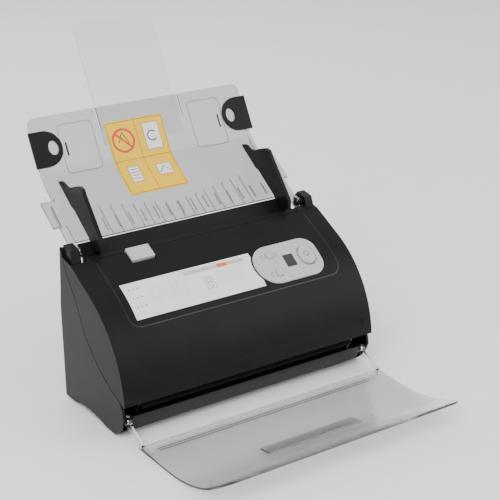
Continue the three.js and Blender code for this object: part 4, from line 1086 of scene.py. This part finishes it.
@dataclass(frozen=True)
class LabelSizes:
    """Places of the pictures on the yellow label in millimetres, each from its own quarter's corner."""

    border: float = 1.5
    border_radius: float = 2.0
    border_line: float = 0.45
    divider_gap: float = 2.0
    divider_line: float = 0.4
    sheet_sides: Point = (9.0, 30.0)
    sheet_margin: float = 8.0
    lined: Box = (12.0, 9.0, 26.0, 31.0)
    picture: Box = (10.0, 12.0, 29.0, 28.0)
    corner: float = 0.6
    outline: float = 0.5
    curl_x: float = 19.5
    curl_radius: float = 6.0
    curl_turn: Point = (40.0, 320.0)
    curl_line: float = 1.3
    rows: int = 4
    row_first: float = 13.0
    row_step: float = 4.4
    row_ends: Point = (14.5, 23.5)
    row_line: float = 0.8
    peak: tuple[Point, ...] = ((12.0, 25.0), (19.0, 16.0), (27.0, 24.0))
    peak_line: float = 0.8
    fold: tuple[Point, ...] = ((13.0, -22.0), (19.0, -34.0), (26.0, -20.0))
    fold_line: float = 0.9
    ring_radius: float = 13.5
    ring_steps: int = 48
    ring_line: float = 2.6
    stroke_half: float = 9.0
    stroke_line: float = 2.4


class Chute:
    """Ribs and framed pads of the chute, and the pictures on its yellow label."""

    BODY = "chute"
    SLOT = "smoke_clear_plastic"

    def __init__(self, sizes: ChuteSizes = ChuteSizes(), label: LabelSizes = LabelSizes()) -> None:
        self.sizes = sizes
        self.label = label

    def build(self) -> None:
        """Makes the chute's details."""
        self._ribs()
        self._pads()
        self._label()

    def _ribs(self) -> None:
        """A row of low ribs where the sheets leave the chute."""
        s = self.sizes
        face = Surface("chute", 0.0)
        start = face.length - s.rib_foot
        bars = []
        for index in range(s.ribs):
            x = -s.rib_span / 2 + s.rib_span * index / (s.ribs - 1)
            bars.append(((x, start - s.rib_length), (x, start)))
        raised_bars("chute_ribs", face, bars, s.rib_wide, s.rib_tall, self.SLOT, self.BODY)

    def _pads(self) -> None:
        """A raised outline inboard of each clip with a short slot in it."""
        s = self.sizes
        face = Surface("chute", 0.0)
        for side, label in ((-1, "left"), (1, "right")):
            low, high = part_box(f"chute_clip_{label}")
            v = face.down_at((low.y + high.y) / 2)
            inner = side * min(abs(low.x), abs(high.x)) / MM
            far = inner - side * s.frame_wide
            outline = rounded_box(
                min(far, inner), v - s.frame_long / 2, max(far, inner), v + s.frame_long / 2, s.frame_radius
            )
            bars = list(zip(outline, outline[1:] + outline[:1]))
            name = f"chute_pad_{label}"
            raised_bars(name, face, bars, s.frame_line, s.frame_tall, self.SLOT, self.BODY)
            slot = Print(f"chute_slot_{label}", face, "ink_dark", SLOT_LIFT)
            x = inner - side * s.slot_in
            wide, tall = s.slot_half
            slot.box(x - wide, v - tall, x + wide, v + tall).finish_on(self.BODY)

    def _label(self) -> None:
        """Four picture panels on the yellow label."""
        s = self.label
        face = Surface("chute_label")
        left, wide = face.left, face.right - face.left
        half, row = wide / 2, face.length / 2
        near, far = s.sheet_sides
        sheet = (left + half + near, s.sheet_margin, left + half + far, row - s.sheet_margin)
        lined = self._moved(s.lined, left, row)
        picture = self._moved(s.picture, left + half, row)
        white = Print("label_sheets", face, "white_label")
        for box in (sheet, lined, picture):
            white.box(*box)
        white.finish_on(self.BODY)
        dark = Print("label_lines", face, "ink_dark", SECOND_LIFT)
        edge = s.border
        border = rounded_box(left + edge, edge, left + wide - edge, face.length - edge, s.border_radius)
        dark.line(border, s.border_line, True)
        gap = s.divider_gap
        upright = ((left + half, gap), (left + half, face.length - gap))
        across = ((left + gap, row), (left + wide - gap, row))
        for divider in (upright, across):
            dark.line(refine(divider, CURVE_STEP), s.divider_line)
        dark.line(rounded_box(*sheet, s.corner), s.outline, True)
        dark.line(arc(left + half + s.curl_x, row / 2, s.curl_radius, *s.curl_turn), s.curl_line)
        for index in range(s.rows):
            level = row + s.row_first + index * s.row_step
            dark.line(refine([(left + x, level) for x in s.row_ends], CURVE_STEP), s.row_line)
        for box in (lined, picture):
            dark.line(rounded_box(*box, s.corner), s.outline, True)
        peak = [(left + half + x, row + v) for x, v in s.peak]
        dark.line(refine(peak, CURVE_STEP), s.peak_line)
        fold = [(left + x, row + v) for x, v in s.fold]
        dark.line(refine(fold, CURVE_STEP), s.fold_line)
        dark.finish_on(self.BODY)
        x, v = left + half / 2, row / 2
        reach = s.stroke_half
        red = Print("label_ring", face, "ink_red", THIRD_LIFT)
        red.line(arc(x, v, s.ring_radius, 0, 360, s.ring_steps), s.ring_line)
        red.line(refine(((x - reach, v - reach), (x + reach, v + reach)), CURVE_STEP), s.stroke_line)
        red.finish_on(self.BODY)

    @staticmethod
    def _moved(box: Box, x: float, v: float) -> Box:
        """A box moved across and down."""
        return box[0] + x, box[1] + v, box[2] + x, box[3] + v


@dataclass(frozen=True)
class TraySizes:
    """Sizes of the ribs of the output tray in millimetres."""

    side: float = 14.0
    first: float = 12.0
    gap: float = 4.0
    ribs: int = 2
    wide: float = 1.4
    tall: float = 0.7


class Tray:
    """The cross ribs of the output tray."""

    BODY = "tray"

    def __init__(self, sizes: TraySizes = TraySizes()) -> None:
        self.sizes = sizes

    def build(self) -> None:
        """Makes the ribs beside the casing."""
        s = self.sizes
        face = Surface("output_tray", 0.0)
        bars = []
        for index in range(s.ribs):
            v = s.first + index * s.gap
            bars.append(((face.left + s.side, v), (face.right - s.side, v)))
        raised_bars("tray_ribs", face, bars, s.wide, s.tall, "clear_plastic", self.BODY)


# --------------------------------------------------------------------------- stage


@dataclass(frozen=True)
class View:
    """The camera.

    Args:
        target: the place it looks at, in metres.
        azimuth: turn from looking along +Y, in degrees.
        elevation: height above the horizon, in degrees.
        roll: turn about the line of sight, in degrees.
        distance: from the target, in metres.
        lens: focal length in millimetres on a 36 mm sensor.
    """

    target: tuple[float, float, float] = (0.1442, 0.1607, 0.0830)
    azimuth: float = -33.67
    elevation: float = 20.75
    roll: float = -0.87
    distance: float = 1.7012
    lens: float = 95.19


@dataclass(frozen=True)
class Lamp:
    """A square soft lamp.

    Args:
        name: its name.
        place: where it stands, in metres.
        size: its side in metres.
        watts: its power.
    """

    name: str
    place: tuple[float, float, float]
    size: float
    watts: float


LAMPS = (
    Lamp("key", (-1.3, -0.9, 1.7), 1.4, 34.0),
    Lamp("fill", (1.6, -1.5, 1.3), 1.8, 22.0),
    Lamp("back", (0.3, 1.9, 1.7), 1.6, 18.0),
)
LAMP_AIM = (0.0, 0.0, 0.12)
SURROUND_COLOUR = (1.0, 1.0, 1.0, 1.0)
SURROUND_STRENGTH = 1.05
SENSOR_WIDTH = 36.0
FAR_CLIP = 50.0
FLOOR_RADIUS = 14.0
FLOOR_SIDES = 96


class Studio:
    """Camera, soft lights and a pale floor."""

    def __init__(self, view: View = View()) -> None:
        self.view = view

    def camera(self) -> bpy.types.Object:
        """Places the camera.

        Returns:
            The camera object.
        """
        v = self.view
        az, el, roll = (math.radians(a) for a in (v.azimuth, v.elevation, v.roll))
        forward = Vector((-math.sin(az) * math.cos(el), math.cos(az) * math.cos(el), -math.sin(el)))
        level = forward.cross(Vector((0, 0, 1))).normalized()
        above = level.cross(forward)
        right = level * math.cos(roll) + above * math.sin(roll)
        up = above * math.cos(roll) - level * math.sin(roll)
        data = bpy.data.cameras.new("camera")
        data.lens = v.lens
        data.sensor_width = SENSOR_WIDTH
        data.clip_end = FAR_CLIP
        camera = bpy.data.objects.new("camera", data)
        bpy.context.scene.collection.objects.link(camera)
        turn = Matrix((right, up, -forward)).transposed().to_4x4()
        place = Vector(v.target) - forward * v.distance
        camera.matrix_world = Matrix.Translation(place) @ turn
        bpy.context.scene.camera = camera
        return camera

    def lights(self) -> None:
        """Large soft lamps and an even surround."""
        for lamp in LAMPS:
            data = bpy.data.lights.new(lamp.name, "AREA")
            data.size = lamp.size
            data.energy = lamp.watts
            stand = bpy.data.objects.new(lamp.name, data)
            bpy.context.scene.collection.objects.link(stand)
            stand.location = lamp.place
            aim = Vector(LAMP_AIM) - Vector(lamp.place)
            stand.rotation_euler = aim.to_track_quat("-Z", "Y").to_euler()
            stand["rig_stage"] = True
        world = bpy.data.worlds.new("surround")
        world.use_nodes = True
        surround = next(n for n in world.node_tree.nodes if n.type == "BACKGROUND")
        surround.inputs["Color"].default_value = SURROUND_COLOUR
        surround.inputs["Strength"].default_value = SURROUND_STRENGTH
        bpy.context.scene.world = world

    def floor(self) -> bpy.types.Object:
        """A wide pale floor under the feet.

        Returns:
            The floor object.
        """
        low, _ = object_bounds()
        shape = bmesh.new()
        bmesh.ops.create_circle(shape, cap_ends=True, segments=FLOOR_SIDES, radius=FLOOR_RADIUS)
        bmesh.ops.translate(shape, verts=shape.verts, vec=(0, 0, low.z))
        mesh = bpy.data.meshes.new("floor")
        shape.to_mesh(mesh)
        shape.free()
        floor = bpy.data.objects.new("floor", mesh)
        bpy.context.scene.collection.objects.link(floor)
        mesh.materials.append(PAINT.material("studio_floor"))
        floor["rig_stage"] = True
        return floor


def main() -> None:
    """Builds the scene."""
    logging.basicConfig(level=logging.INFO)
    studio = Studio()
    studio.camera()
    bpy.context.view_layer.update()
    studio.floor()
    studio.lights()
    Mouldings().build()
    Cover().build()
    Chute().build()
    Tray().build()


if __name__ == "__main__":
    main()
